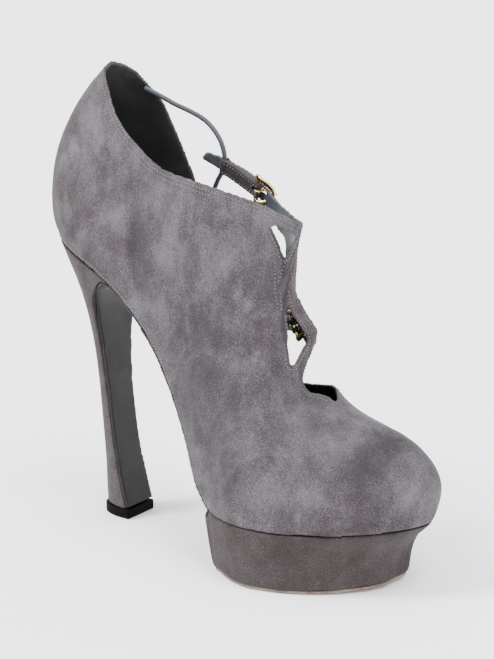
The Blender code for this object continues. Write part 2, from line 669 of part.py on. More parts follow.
def build_heel(collection):
    path, sides, outward = under_path()
    table = metres(HEEL)
    rings = []
    for row in range(len(table["front_run"])):
        place = len(path) - 1 - table["front_run"][row]
        steps = np.arange(len(path))
        spot = np.array([np.interp(place, steps, path[:, k]) for k in range(2)])
        way = np.array([np.interp(place, steps, outward[:, k]) for k in range(2)])
        spot = spot - way * (COVER_THICK + PIECE_GAP)
        front = np.array([spot[0], 0, spot[1]])
        back = np.array([table["back_l"][row], 0, table["back_h"][row]])
        rings.append(heel_ring(front, back, table["half_w"][row], table["power"][row]))
    rings[0][:, 2] = TOP_LIFT_HEIGHT + PIECE_GAP
    # The last ring follows the under edge of the upper round the heel seat.
    seat = rings[-1]
    seat[:, 2] = foot_height(seat[:, 0]) - PIECE_GAP * 1.2
    rings[-1] = seat
    heel = new_object("heel", lofted("heel", rings), collection)
    room = cutter_from("cover_room", cover_mesh("cover_room", PIECE_GAP))
    return cut(heel, [room])


def build_top_lift(collection):
    table = metres(HEEL)
    path, _, _ = under_path()
    front_x = path[-1, 0] + LIFT_LIP
    rings = []
    for z, grow in ((0.0, -0.0004), (0.0006, 0.0), (TOP_LIFT_HEIGHT, 0.0)):
        front = np.array([front_x + grow, 0, z])
        back = np.array([table["back_l"][0] - LIFT_LIP - grow, 0, z])
        rings.append(heel_ring(front, back, table["half_w"][0] + LIFT_LIP + grow, 2.6))
    return new_object("top_lift", lofted("top_lift", rings), collection)


def sole_spots(start):
    """Places along the foot line, evenly spread from a length along the shoe to the toe."""
    fine = np.linspace(0, len(RIBS[1]) - 1, 600)
    ring = upper_surface(-1, fine, [0.0])[:, 0]
    run = np.concatenate([[0], np.cumsum(np.linalg.norm(np.diff(ring, axis=0), axis=1))])
    first = np.interp(start, ring[:, 0], run)
    return np.interp(np.linspace(first, run[-1], SOLE_POINTS), run, fine)


def cover_under(x):
    """Height of the cover's under face at a length along the shoe."""
    path, _, _ = under_path()
    order = np.argsort(path[:17, 0])
    return np.interp(x, path[:17, 0][order], path[:17, 1][order])


def platform_outline():
    """Plan of the platform's top edge: the foot line from the rear corner to the toe,
    and a round rear that passes under the cover. Both halves have the same lengths,
    so that strips run straight across from one to the other."""
    spots = sole_spots(PLATFORM_REAR + 0.0004)
    inner = upper_surface(-1, spots, [0.0])[:, 0]
    outer = upper_surface(1, spots, [0.0])[:, 0]
    inner[:, 2] -= PIECE_GAP * 1.5
    outer[:, 2] -= PIECE_GAP * 1.5
    centre = 0.5 * (inner[0, 1] + outer[0, 1])
    half = 0.5 * (outer[0, 1] - inner[0, 1])
    turns = np.linspace(0, math.pi / 2, 8)[1:]
    x = PLATFORM_REAR - PLATFORM_REAR_BULGE * np.cos(turns)
    y = half * np.sin(turns)
    z = cover_under(x) - (PIECE_GAP + COVER_CAMBER) * 1.6
    low = np.stack([x, centre - y, z], 1)
    high = np.stack([x, centre + y, z], 1)
    tip_x = PLATFORM_REAR - PLATFORM_REAR_BULGE
    tip_z = float(cover_under(tip_x)) - (PIECE_GAP + COVER_CAMBER) * 1.6
    tip = np.array([[tip_x, centre, tip_z]])
    inner = np.concatenate([tip, low, inner])
    outer = np.concatenate([tip, high, outer])
    return np.concatenate([inner, outer[-2:0:-1]])


def platform_rings(shares, bottom, grow=0.0):
    ring = platform_outline()
    ahead = np.roll(ring, -1, axis=0) - np.roll(ring, 1, axis=0)
    inward = np.stack([-ahead[:, 1], ahead[:, 0], 0 * ahead[:, 0]], 1)
    inward /= np.linalg.norm(inward, axis=1, keepdims=True)
    table = metres(PLATFORM)
    toe = np.clip(-inward[:, 0], 0, 1) ** 1.5
    rear = np.clip(inward[:, 0], 0, 1) ** 1.5
    rings = []
    for share in shares:
        side = np.interp(share, table["share"], table["side_w"])
        amount = side + toe * (np.interp(share, table["share"], table["toe_w"]) - side)
        amount = amount + rear * (np.interp(share, table["share"], table["rear_w"]) - side)
        moved = ring + inward * (amount + grow)[:, None]
        floor = bottom + toe_spring(moved[:, 0])
        moved[:, 2] = floor + (ring[:, 2] - floor) * share
        rings.append(moved)
    return rings


def capped_loft(name, rings):
    """A loft whose ends are filled by strips straight across the shoe."""
    rings = np.asarray(rings)
    count = rings.shape[1]
    last = len(rings) - 1
    faces = grid_faces(len(rings), count, wrap=True)
    half = count // 2
    for end, flip in ((0, False), (last * count, True)):
        for k in range(half):
            strip = [k, k + 1, (count - k - 1) % count, (count - k) % count]
            strip = [end + at for at in dict.fromkeys(strip)]
            faces.append(tuple(strip if flip else reversed(strip)))
    return tidy(mesh_from(name, rings.reshape(-1, 3), faces))


def build_platform(collection):
    shares = column(PLATFORM, "share")
    rings = platform_rings(shares, OUTSOLE_THICK + PIECE_GAP)
    return new_object("platform", capped_loft("platform", rings), collection)


def build_outsole(collection):
    low = platform_rings([0.0], 0.0, OUTSOLE_INSET)[0]
    rings = []
    for z, inset in ((0.0, 0.0004), (0.0004, 0.0), (OUTSOLE_THICK, 0.0)):
        ring = platform_rings([0.0], 0.0, OUTSOLE_INSET + inset)[0].copy()
        ring[:, 2] = toe_spring(low[:, 0]) + z
        rings.append(ring)
    return new_object("outsole", capped_loft("outsole", rings), collection)


def build_insole(collection):
    inner, outer = foot_ring(UPPER_WALL + INSOLE_INSET)
    inner, outer = inner[::2], outer[::2]
    across = np.linspace(0, 1, 5)[None, :, None]
    low = inner[:, None] * (1 - across) + outer[:, None] * across
    run = np.gradient(low[:, 2], axis=0)
    run /= np.linalg.norm(run, axis=1, keepdims=True)
    up = np.stack([-run[:, 2], 0 * run[:, 0], run[:, 0]], 1)
    bottom = low + up[:, None] * PIECE_GAP
    top = low + up[:, None] * (PIECE_GAP + INSOLE_THICK)
    return new_object("insole", thick_sheet("insole", top, bottom), collection)


def build_upper(collection):
    """The hollow upper with its straps: both sides as one sheet, given a wall,
    then opened at the throat, the two windows and the outer side."""
    spots = rib_positions()
    levels = np.linspace(0, 1, LEVELS_UP_WALL + 1)
    inner = upper_surface(-1, spots, levels)
    outer = upper_surface(1, spots, levels)
    rows, columns = inner.shape[:2]
    outline = np.stack([metres(OPEN_SIDE)["x_l"], metres(OPEN_SIDE)["z_h"]], 1)
    points = np.concatenate([inner.reshape(-1, 3), outer.reshape(-1, 3)])
    faces = [tuple(reversed(face)) for face in grid_faces(rows, columns)]
    first, last = FREE_RIDGE
    for face in grid_faces(rows, columns):
        row = 0.5 * (spots[face[0] // columns] + spots[face[2] // columns])
        x, _, z = outer.reshape(-1, 3)[list(face)].mean(0)
        free = first < row < last
        if inside(outline, x, z) and (free or far_from(outline, x, z, 0.006)):
            continue
        faces.append(tuple(rows * columns + k for k in face))
    mesh = mesh_from("upper", points, faces)
    bm = bmesh.new()
    bm.from_mesh(mesh)
    bmesh.ops.remove_doubles(bm, verts=bm.verts, dist=0.00002)
    loose = [vert for vert in bm.verts if not vert.link_faces]
    bmesh.ops.delete(bm, geom=loose, context="VERTS")
    bm.to_mesh(mesh)
    bm.free()
    upper = new_object("upper", mesh, collection)
    wall = upper.modifiers.new("Wall", "SOLIDIFY")
    wall.thickness = UPPER_WALL
    wall.offset = -1
    wall.use_even_offset = False
    baked(upper)
    triangulated(upper.data)
    cutters = [
        slanted_prism("window_top", WINDOW_TOP, -0.070, -0.0021),
        slanted_prism("window_low", WINDOW_LOW, -0.070, -0.0012),
        slanted_prism("throat_rear", THROAT_REAR, -0.070, 0.070),
        slanted_prism("throat", THROAT, -0.070, 0.0092),
        side_prism("open_side", outline, -0.0015, 0.070),
    ]
    return cut(upper, cutters)


def triangulated(mesh):
    bm = bmesh.new()
    bm.from_mesh(mesh)
    bmesh.ops.triangulate(bm, faces=bm.faces, quad_method="SHORT_EDGE")
    bm.to_mesh(mesh)
    bm.free()
    return mesh


def inside(outline, x, z):
    count = False
    for (ax, az), (bx, bz) in zip(outline, np.roll(outline, -1, axis=0)):
        if (az > z) != (bz > z) and x < (bx - ax) * (z - az) / (bz - az) + ax:
            count = not count
    return count


def far_from(outline, x, z, gap):
    spot = np.array([x, z])
    for a, b in zip(outline, np.roll(outline, -1, axis=0)):
        way = b - a
        share = np.clip(np.dot(spot - a, way) / np.dot(way, way), 0, 1)
        if np.linalg.norm(spot - a - way * share) < gap:
            return False
    return True


def strap_frame(surface, table, name):
    """Origin and three directions of a buckle: along the strap, across it, outwards."""
    names, rows = table
    row = dict(zip(names, next(r for r in rows if r[0] == name)))
    x, z = row["x_l"] * SHOE_LENGTH, row["z_h"] * BACK_HEIGHT
    spot, outward = surface.at(x, z, row["depth_w"] * BALL_WIDTH)
    far, _ = surface.at(x - row["aim_l"] * SHOE_LENGTH, z + row["climb_h"] * BACK_HEIGHT)
    along = far - spot
    along -= outward * along.dot(outward)
    along /= np.linalg.norm(along)
    return spot, along, np.cross(outward, along), outward


def ring_mesh(name, frame, grow=0.0):
    """The domed ring of a buckle. Its front and rear rise over the strap."""
    spot, along, across, outward = frame
    rings = []
    wide, tall = BUCKLE_WIRE * 1.25 + grow, BUCKLE_WIRE * 0.85 + grow
    angles = np.linspace(0, 2 * math.pi, 8, endpoint=False)[:, None]
    for turn in np.linspace(0, 2 * math.pi, 28, endpoint=False):
        way = along * math.cos(turn) + across * math.sin(turn)
        rise = RING_RISE * abs(math.cos(turn)) ** 0.4
        centre = spot + way * BUCKLE_RADIUS + outward * rise
        rings.append(centre + wide * np.cos(angles) * way + tall * np.sin(angles) * outward)
    rings = np.array(rings)
    count = 28 * 8
    faces = [tuple(k % count for k in face) for face in grid_faces(29, 8, wrap=True)]
    return tidy(mesh_from(name, rings.reshape(-1, 3), faces))


def bar_cutter(name, frame, grow=0.0):
    spot, along, across, outward = frame
    reach = BUCKLE_RADIUS * 0.97 + grow
    line = [spot - across * reach, spot + across * reach]
    return wire_cutter(name, line, BAR_RADIUS + grow)


def build_buckle(name, frame, collection):
    """A round domed ring with its bar across the middle, as one piece of metal."""
    ring = new_object(name, ring_mesh(name, frame), collection)
    return cut(ring, [bar_cutter(name + "_bar", frame)], "UNION")


def buckle_room(name, frame):
    """Cutters that leave a small gap all round a buckle."""
    ring = name + "_ring_room"
    return [
        cutter_from(ring, ring_mesh(ring, frame, PIECE_GAP)),
        bar_cutter(name + "_bar_room", frame, PIECE_GAP),
    ]


def prong_line(frame):
    """Middle line of a prong: hooked round the bar and laid over the front of the ring."""
    spot, along, across, outward = frame
    hook = BAR_RADIUS + PRONG_RADIUS + 0.00025
    points = []
    for turn in np.radians([300, 265, 230, 195, 160, 130, 105]):
        points.append(spot + along * hook * math.cos(turn) + outward * hook * math.sin(turn))
    rest = RING_RISE + BUCKLE_WIRE * 0.85 + PRONG_RADIUS + 0.00035
    for run, rise in ((0.0016, 0.72), (0.0040, 0.98), (0.0056, 1.0), (0.0071, 1.0)):
        points.append(spot - along * run + outward * (rest * rise))
    return smooth_path(points, 16)


def build_prong(name, frame, collection):
    return wire(name, prong_line(frame), PRONG_RADIUS, collection)


def cord_line(surface):
    """Middle of the cord, from inside the counter, through its loop, to the topline."""
    names, rows = CORD
    points = []
    for row in rows:
        x, z, depth = row
        spot, _ = surface.at(x * SHOE_LENGTH, z * BACK_HEIGHT, depth * BALL_WIDTH)
        points.append(spot)
    return smooth_path(points, 34)


def build_cord(surface, collection):
    return wire("cord", cord_line(surface), CORD_RADIUS, collection)


def build_buckle_piece(surface, frame, collection):
    """The folded suede piece from the bar of the upper buckle to the cord."""
    spot, along, across, outward = frame
    line = cord_line(surface)
    # The cord passes the loop at the point of its line nearest the strap's middle line.
    offset = line - spot
    beside = offset - along * (offset @ along)[:, None]
    reach = np.linalg.norm(beside, axis=1) + 10.0 * ((offset @ along) < 0.012)
    eye = line[int(reach.argmin())]
    run = eye - spot
    length = np.linalg.norm(run)
    ahead = run / length
    side = np.cross(outward, ahead)
    side /= np.linalg.norm(side)
    up = np.cross(ahead, side)
    up = up if up.dot(outward) > 0 else -up
    profile = []
    front, rear = BAR_RADIUS + 0.00080, CORD_RADIUS + 0.00110
    flat = 0.00125
    for turn in np.radians(np.linspace(70, 290, 9)):
        profile.append((front * math.cos(turn), front * math.sin(turn)))
    for share in (0.16, 0.3, 0.5, 0.7, 0.82):
        profile.append((length * share, -flat))
    for turn in np.radians(np.linspace(-110, 110, 11)):
        profile.append((length + rear * math.cos(turn), rear * math.sin(turn)))
    for share in (0.82, 0.7, 0.5, 0.3, 0.16):
        profile.append((length * share, flat))
    rings = []
    for s in (-0.5, 0.5):
        rings.append([spot + ahead * u + up * n + side * STRAP_WIDTH * s for u, n in profile])
    piece = new_object("buckle_piece", lofted("buckle_piece", rings), collection)
    near = int(np.linalg.norm(line - eye, axis=1).argmin())
    span = line[max(near - 5, 0) : near + 6]
    channel = wire_cutter("cord_channel", span, CORD_RADIUS + PIECE_GAP * 1.2)
    slot = box_cutter("prong_slot", spot, ahead, side, up, PRONG_SLOT)
    return cut(piece, [channel, slot] + buckle_room("piece", frame))


def box_cutter(name, centre, u, v, w, size):
    lu, lv, lw = size
    rings = []
    for s in (-0.5, 0.5):
        rings.append(
            [
                centre + u * lu * a + v * lv * b + w * lw * s
                for a, b in ((-0.5, -0.5), (0.5, -0.5), (0.5, 0.5), (-0.5, 0.5))
            ]
        )
    return cutter_from(name, lofted(name, rings))


def build_low_band(surface, frame, collection):
    """The inner band of the lower strap, from inside the topline to the lower bar."""
    spot, along, across, outward = frame
    names, rows = LOW_BAND
    grid_out, grid_in = [], []
    for row in rows:
        values = dict(zip(names, row))
        x, z = values["x_l"] * SHOE_LENGTH, values["z_h"] * BACK_HEIGHT
        half = values["half_h"] * BACK_HEIGHT
        depth = values["depth_w"] * BALL_WIDTH
        thick = values["thick_w"] * BALL_WIDTH
        line_out, line_in = [], []
        for s in (-1.0, -0.5, 0.0, 0.5, 1.0):
            p, n = surface.at(x, z + half * s, depth)
            line_out.append(p)
            line_in.append(p - n * thick)
        grid_out.append(line_out)
        grid_in.append(line_in)
    band = thick_sheet("low_band", np.array(grid_out), np.array(grid_in))
    made = new_object("low_band", band, collection)
    slot = box_cutter("low_prong_slot", spot, along, across, outward, PRONG_SLOT)
    return cut(made, [slot] + buckle_room("band", frame))


def material(name, colour, rough, metal=0.0):
    made = bpy.data.materials.new(name)
    made.use_nodes = True
    shader = made.node_tree.nodes["Principled BSDF"]
    shader.inputs["Base Color"].default_value = (*colour, 1)
    shader.inputs["Roughness"].default_value = rough
    shader.inputs["Metallic"].default_value = metal
    made.diffuse_color = (*colour, 1)
    return made


def main():
    for old in list(bpy.data.objects):
        bpy.data.objects.remove(old, do_unlink=True)
    scene = bpy.context.scene
    scene.unit_settings.scale_length = 1.0
    shoe = bpy.data.collections.new("double_strap_heeled_shoe")
    cutters = bpy.data.collections.new("cutters")
    cutters.hide_render = True
    scene.collection.children.link(shoe)
    scene.collection.children.link(cutters)

    suede = (0.115, 0.105, 0.115)
    looks = {
        "upper": material("grey_suede", suede, 0.95),
        "platform": material("platform_suede", (0.105, 0.096, 0.104), 0.95),
        "heel": material("heel_suede", (0.11, 0.10, 0.108), 0.95),
        "insole": material("insole_leather", (0.05, 0.052, 0.055), 0.6),
        "outsole": material("sole_leather", (0.52, 0.40, 0.30), 0.55),
        "waist_cover": material("smooth_grey_leather", (0.17, 0.18, 0.19), 0.45),
        "top_lift": material("black_rubber", (0.015, 0.015, 0.016), 0.6),
        "cord": material("cord_leather", (0.15, 0.165, 0.185), 0.45),
        "buckle_piece": material("piece_suede", (0.10, 0.085, 0.092), 0.95),
        "low_band": material("band_lining", (0.06, 0.058, 0.062), 0.8),
        "buckle_top": material("gold_top", (0.85, 0.60, 0.25), 0.22, 1.0),
        "prong_top": material("gold_prong_top", (0.85, 0.60, 0.25), 0.25, 1.0),
        "buckle_low": material("gold_low", (0.85, 0.60, 0.25), 0.22, 1.0),
        "prong_low": material("gold_prong_low", (0.85, 0.60, 0.25), 0.25, 1.0),
    }

    surface = OuterSide()
    top_frame = strap_frame(surface, BUCKLES, "top")
    low_frame = strap_frame(surface, BUCKLES, "low")
    made = [
        build_outsole(shoe),
        build_platform(shoe),
        build_upper(shoe),
        build_insole(shoe),
        build_cover(shoe),
        build_heel(shoe),
        build_top_lift(shoe),
        build_cord(surface, shoe),
        build_buckle_piece(surface, top_frame, shoe),
        build_low_band(surface, low_frame, shoe),
        build_buckle("buckle_top", top_frame, shoe),
        build_prong("prong_top", top_frame, shoe),
        build_buckle("buckle_low", low_frame, shoe),
        build_prong("prong_low", low_frame, shoe),
    ]
    upper = made[2]
    slots = []
    for name, frame in (("top", top_frame), ("low", low_frame)):
        spot, along, across, outward = frame
        middle = spot - along * 0.0018 + outward * 0.0025
        slots.append(box_cutter("hole_" + name, middle, along, across, outward, PRONG_HOLE))
        slots += buckle_room("strap_" + name, frame)
        slots.append(wire_cutter("tip_" + name, prong_line(frame), PRONG_RADIUS + PIECE_GAP))
    cut(upper, slots)
    for obj in made:
        obj.data.transform(Matrix.Translation((CENTRE_SHIFT, CENTRE_SIDE, 0)))
        finished(obj, looks[obj.name])
    for obj in list(cutters.objects):
        obj.data.transform(Matrix.Translation((CENTRE_SHIFT, CENTRE_SIDE, 0)))


main()
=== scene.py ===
"""A double strap heeled shoe in grey suede, dressed for its picture.

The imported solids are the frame. Each leather piece is made again from its own solid, with
round forms and soft edges, folded where a worn shoe folds, stitched along its edges, and
given its own finish. Lengths are in metres, in the frame of the solids: +X runs to the toe,
+Y to the outer side of the foot and +Z up.
"""

import math

import bpy
import numpy as np
from mathutils import Matrix, Vector, noise
from mathutils.bvhtree import BVHTree


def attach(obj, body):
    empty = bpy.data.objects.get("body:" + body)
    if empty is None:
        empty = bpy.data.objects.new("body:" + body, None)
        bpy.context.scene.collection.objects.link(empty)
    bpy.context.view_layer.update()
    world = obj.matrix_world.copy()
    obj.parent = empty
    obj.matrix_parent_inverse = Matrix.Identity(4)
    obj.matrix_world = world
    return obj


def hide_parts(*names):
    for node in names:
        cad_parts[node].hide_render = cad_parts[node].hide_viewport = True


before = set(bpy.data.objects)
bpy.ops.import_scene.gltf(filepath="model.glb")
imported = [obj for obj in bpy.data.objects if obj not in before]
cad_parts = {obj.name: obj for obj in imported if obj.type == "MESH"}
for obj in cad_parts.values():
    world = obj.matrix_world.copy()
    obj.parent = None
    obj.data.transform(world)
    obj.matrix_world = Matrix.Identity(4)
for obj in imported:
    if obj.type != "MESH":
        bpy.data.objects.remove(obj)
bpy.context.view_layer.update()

# The camera of the photograph: its angles in degrees, its distance, and its lens in the photo's pixels
PHOTO_WIDE = 494
CAMERA_TURN, CAMERA_RISE, CAMERA_ROLL = 35.84, 14.7, 0.12
CAMERA_FAR = 0.800
CAMERA_AIM = Vector((0.00506, 0.00485, 0.1063))
SENSOR = 36.0
FOCAL_PIXELS = 2.144 * 800
FOCAL_SHARE = FOCAL_PIXELS / PHOTO_WIDE
CLIP_NEAR, CLIP_FAR = 0.01, 60.0

# The middle of the inside: its place across the shoe, and its lowest and highest place at each length
MIDDLE_Y = 0.00485
SPINE = {
    "columns": ("x", "low", "high"),
    "rows": [
        (-0.088, 0.150, 0.185),
        (-0.060, 0.146, 0.180),
        (-0.030, 0.120, 0.172),
        (0.000, 0.080, 0.165),
        (0.018, 0.058, 0.150),
        (0.030, 0.050, 0.100),
        (0.045, 0.046, 0.075),
        (0.065, 0.044, 0.056),
        (0.088, 0.046, 0.050),
    ],
}

# How far forward the inside reaches at each height
INSIDE_FRONT = {
    "columns": ("z", "x"),
    "rows": [
        (0.050, 0.088),
        (0.060, 0.070),
        (0.075, 0.040),
        (0.090, 0.024),
        (0.110, 0.010),
        (0.170, 0.000),
    ],
}
# Below this height the vamp and the toe are closed on top, and above it the shoe is open
VAMP_TOP = 0.082

# Folds that wear has pressed into the suede, each from one spot to another, of the depth and width given
FOLDS = {
    "columns": ("x1", "y1", "z1", "x2", "y2", "z2", "width", "depth"),
    "rows": [
        (0.020, -0.023, 0.134, 0.031, -0.019, 0.125, 0.002, 0.00045),
        (0.024, -0.022, 0.122, 0.034, -0.017, 0.114, 0.003, 0.00035),
        (0.072, -0.009, 0.069, 0.090, 0.012, 0.070, 0.003, 0.00040),
        (0.080, -0.016, 0.064, 0.096, 0.004, 0.066, 0.003, 0.00025),
        (-0.041, -0.020, 0.188, -0.038, -0.022, 0.140, 0.005, 0.00090),
        (-0.038, -0.022, 0.148, -0.036, -0.022, 0.115, 0.006, 0.00045),
        (0.048, -0.015, 0.084, 0.061, -0.001, 0.076, 0.004, 0.00050),
        (0.040, -0.033, 0.079, 0.056, -0.022, 0.070, 0.006, 0.00045),
        (-0.084, -0.014, 0.175, -0.089, -0.012, 0.150, 0.003, 0.00035),
    ],
}
# Beside each fold a low ridge stands: its height as a share of the depth, its place in widths
RIDGE_SHARE, RIDGE_AT = 0.45, 1.8
# At its ends a fold is this shallow, and it deepens at this rate
FOLD_END, FOLD_RATE = 0.15, 5

# Spots seen from the side: pale where the suede is rubbed, and dark spots of painted shade that darken the
# lower quarter and the creases where less light falls
WEAR_AND_SHADE_SPOTS = {
    "columns": ("x", "z", "reach", "light"),
    "rows": [
        (0.068, 0.048, 0.008, 0.90),
        (0.066, 0.070, 0.010, 0.80),
        (0.074, 0.071, 0.006, 0.70),
        (0.103, 0.048, 0.008, 0.90),
        (0.048, 0.072, 0.009, 0.35),
        (0.037, 0.086, 0.012, 0.60),
        (-0.005, 0.152, 0.014, 0.40),
        (0.014, 0.146, 0.010, 0.30),
        (0.020, 0.130, 0.003, 0.70),
        (0.025, 0.126, 0.003, 0.80),
        (0.030, 0.122, 0.003, 0.60),
        (-0.094, 0.153, 0.007, 0.90),
        (-0.078, 0.198, 0.009, 0.35),
        (-0.074, 0.178, 0.010, 0.40),
        (-0.055, 0.165, 0.013, 0.35),
        (-0.027, 0.160, 0.009, 0.45),
        (-0.080, 0.142, 0.010, 0.22),
        (0.002, 0.103, 0.018, -0.80),
        (0.025, 0.088, 0.018, -0.30),
        (0.025, 0.060, 0.018, -0.25),
        (0.013, 0.076, 0.016, -0.20),
        (-0.010, 0.126, 0.012, -0.25),
        (0.062, 0.078, 0.010, -0.50),
        (0.080, 0.070, 0.010, -0.50),
        (0.088, 0.062, 0.008, -0.60),
        (0.104, 0.053, 0.005, -0.50),
        (0.094, 0.044, 0.008, -0.35),
        (-0.088, 0.195, 0.007, -0.45),
        (-0.090, 0.165, 0.007, -0.55),
        (-0.070, 0.154, 0.006, -0.40),
        (-0.040, 0.172, 0.009, -0.75),
        (-0.039, 0.152, 0.009, -0.70),
        (-0.037, 0.132, 0.008, -0.50),
    ],
}

# The front edge of the quarter on the inner side, which lies over the straps, from the throat up
FRONT_EDGE = {
    "columns": ("z", "x"),
    "rows": [
        (0.098, 0.043),
        (0.108, 0.040),
        (0.128, 0.036),
        (0.145, 0.035),
        (0.154, 0.033),
        (0.161, 0.030),
    ],
}
# The inner side slants there: a step of 1 along the surface is this much along X
SIDE_SLANT = 0.8
# The step down to the straps: its depth, the width of its face and how far it takes to fade out
EDGE_STEP, EDGE_FACE, EDGE_FADE = 0.00075, 0.0004, 0.0040
# The step is looked for this near to the edge, and it fades in over this height at the edge's ends
EDGE_NEAR, EDGE_ENDS = 0.010, 0.002
# The dark line at the foot of the step: its strength, and its place and width
SHADE_DEPTH, SHADE_AT = 1.1, 0.0006

# Sewing
STITCH_LENGTH, STITCH_GAP, THREAD_RADIUS = 0.0011, 0.0017, 0.00023
# How far the rows of stitches lie inside an edge: the first row, the second row beyond it, and other pieces
STITCH_IN, STITCH_ROW, PIECE_STITCH_IN, PIECE_STITCH_GAP = 0.0021, 0.0019, 0.0013, 0.0019
FRONT_STITCH_IN = 0.0016
# The lowest place of the first row, and the lowest and the rearmost place of the second one
FIRST_ROW_LOW, SECOND_ROW_LOW, SECOND_ROW_REAR = 0.078, 0.165, -0.055
# The part of the quarter's front edge that is stitched
FRONT_ROW_LOW, FRONT_ROW_HIGH = 0.119, 0.146
# The rings of a thread: their places in thread lengths, and their size and height in thread radii
THREAD = {
    "columns": ("along", "size", "lift"),
    "rows": [
        (-0.5, 0.45, -0.9),
        (-0.3, 1.0, 0.25),
        (0.0, 1.1, 0.55),
        (0.3, 1.0, 0.25),
        (0.5, 0.45, -0.9),
    ],
}
THREAD_SIDES = 5
# Stitches follow an edge in steps this fine, and look for the surface this far off
EDGE_STEPS, STITCH_REACH = 0.0008, 0.004
# The way the inner side faces along the quarter's front edge
FRONT_EDGE_FACING = (0.45, -0.88, 0.1)

# Making the solids again: points nearer than this are one, and edges bent by more degrees stay sharp
SAME_POINT = 2e-6
SHARP = 38.0
# The upper's voxel size, rounds of softening and number of faces
UPPER_CELL, UPPER_ROUNDS, UPPER_FACES = 0.00085, 12, 180000
# The waves over the upper: their length, their seed and their height
UPPER_WAVES = {
    "columns": ("size", "seed", "height"),
    "rows": [(0.020, 5, 0.00030), (0.007, 8, 0.00008)],
}
# How squarely a face looks out of the shoe, or into it, to be suede or lining. Between the two is a cut edge
FACING_OUT, FACING_IN = 0.22, -0.18
# The straps' backs on the outer side have another lining than the quarter
FAR_STRAP_REAR, FAR_STRAP_LOW = -0.045, 0.145


def table_rows(table):
    """The rows of a table as dicts by its column names."""
    return [dict(zip(table["columns"], row)) for row in table["rows"]]


def unit(v):
    """The vectors with their lengths made 1."""
    return v / np.maximum(np.linalg.norm(v, axis=-1, keepdims=True), 1e-12)


def front_edge():
    """The heights of the quarter's front edge, and how far forward it is at each."""
    rows = table_rows(FRONT_EDGE)
    return [row["z"] for row in rows], [row["x"] for row in rows]


# Meshes


def solid_of(node):
    """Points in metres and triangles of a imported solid, with its doubled points made one."""
    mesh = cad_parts[node].data
    mesh.calc_loop_triangles()
    points = points_of(mesh)
    faces = np.empty(len(mesh.loop_triangles) * 3, np.int32)
    mesh.loop_triangles.foreach_get("vertices", faces)
    keys = np.round(points / SAME_POINT).astype(np.int64)
    _, first, index = np.unique(keys, axis=0, return_index=True, return_inverse=True)
    faces = index.reshape(-1)[faces].reshape(-1, 3)
    a, b, c = faces.T
    return points[first], faces[(a != b) & (b != c) & (a != c)]


def face_normals(points, faces):
    """Unit normals and areas of triangles."""
    a, b, c = (points[faces[:, corner]] for corner in range(3))
    cross = np.cross(b - a, c - a)
    size = np.linalg.norm(cross, axis=1)
    return cross / np.maximum(size, 1e-15)[:, None], size / 2


def edges_of(faces):
    """Each edge once, with its two faces (the second is -1 on an open one) and its index in each face."""
    ends = np.concatenate([faces[:, [0, 1]], faces[:, [1, 2]], faces[:, [2, 0]]])
    edges, index = np.unique(np.sort(ends, axis=1), axis=0, return_inverse=True)
    index = index.reshape(-1)
    order = np.argsort(index, kind="stable")
    starts = np.searchsorted(index[order], np.arange(len(edges)))
    count = np.diff(np.append(starts, len(order)))
    owner = order % len(faces)
    pairs = np.full((len(edges), 2), -1)
    pairs[:, 0] = owner[starts]
    pairs[count > 1, 1] = owner[starts[count > 1] + 1]
    return edges, pairs, index.reshape(3, -1).T


def corner_normals(points, faces, sharp):
    """A smooth normal for every corner of every face, not smoothed over sharp angles."""
    normals, areas = face_normals(points, faces)
    around = [[] for _ in range(len(points))]
    for number, face in enumerate(faces.tolist()):
        for corner in face:
            around[corner].append(number)
    limit = math.cos(math.radians(sharp))
    corners = np.empty((len(faces), 3, 3))
    for spot, near in enumerate(around):
        near = np.array(near, int)
        if not len(near):
            continue
        alike = normals[near] @ normals[near].T > limit
        mixed = unit((alike * areas[near]) @ normals[near] + normals[near] * 1e-12)
        for which in range(3):
            at = faces[near, which] == spot
            corners[near[at], which] = mixed[at]
    return corners, normals


def rounded(points, faces, sharp=SHARP, levels=2):
    """Cuts each triangle in four and lifts the new points to the round form its corners tell of."""
    for _ in range(levels):
        corners, normals = corner_normals(points, faces, sharp)
        edges, pairs, edge_index = edges_of(faces)
        a, b = points[edges[:, 0]], points[edges[:, 1]]
        middle = (a + b) / 2
        lift = np.zeros_like(middle)
        share = np.zeros(len(edges))
        for side in (0, 1):
            near = pairs[:, side]
            known = near >= 0
            for end in (0, 1):
                which = np.argmax(faces[near] == edges[:, end][:, None], axis=1)
                normal = corners[near, which]
                offset = ((middle - points[edges[:, end]]) * normal).sum(1)[:, None] * normal
                lift[known] -= offset[known]
                share[known] += 1
        both = pairs[:, 1] >= 0
        bend = np.ones(len(edges))
        bend[both] = (normals[pairs[both, 0]] * normals[pairs[both, 1]]).sum(1)
        smooth = bend > math.cos(math.radians(sharp))
        middle[smooth] += 0.5 * lift[smooth] / share[smooth][:, None]
        middle[~smooth] += bowed(points, edges, ~smooth)
        count = len(points)
        points = np.vstack([points, middle])
        m = edge_index + count
        faces = np.concatenate([
            np.stack([faces[:, 0], m[:, 0], m[:, 2]], 1),
            np.stack([m[:, 0], faces[:, 1], m[:, 1]], 1),
            np.stack([m[:, 2], m[:, 1], faces[:, 2]], 1),
            m,
        ])
    return points, faces


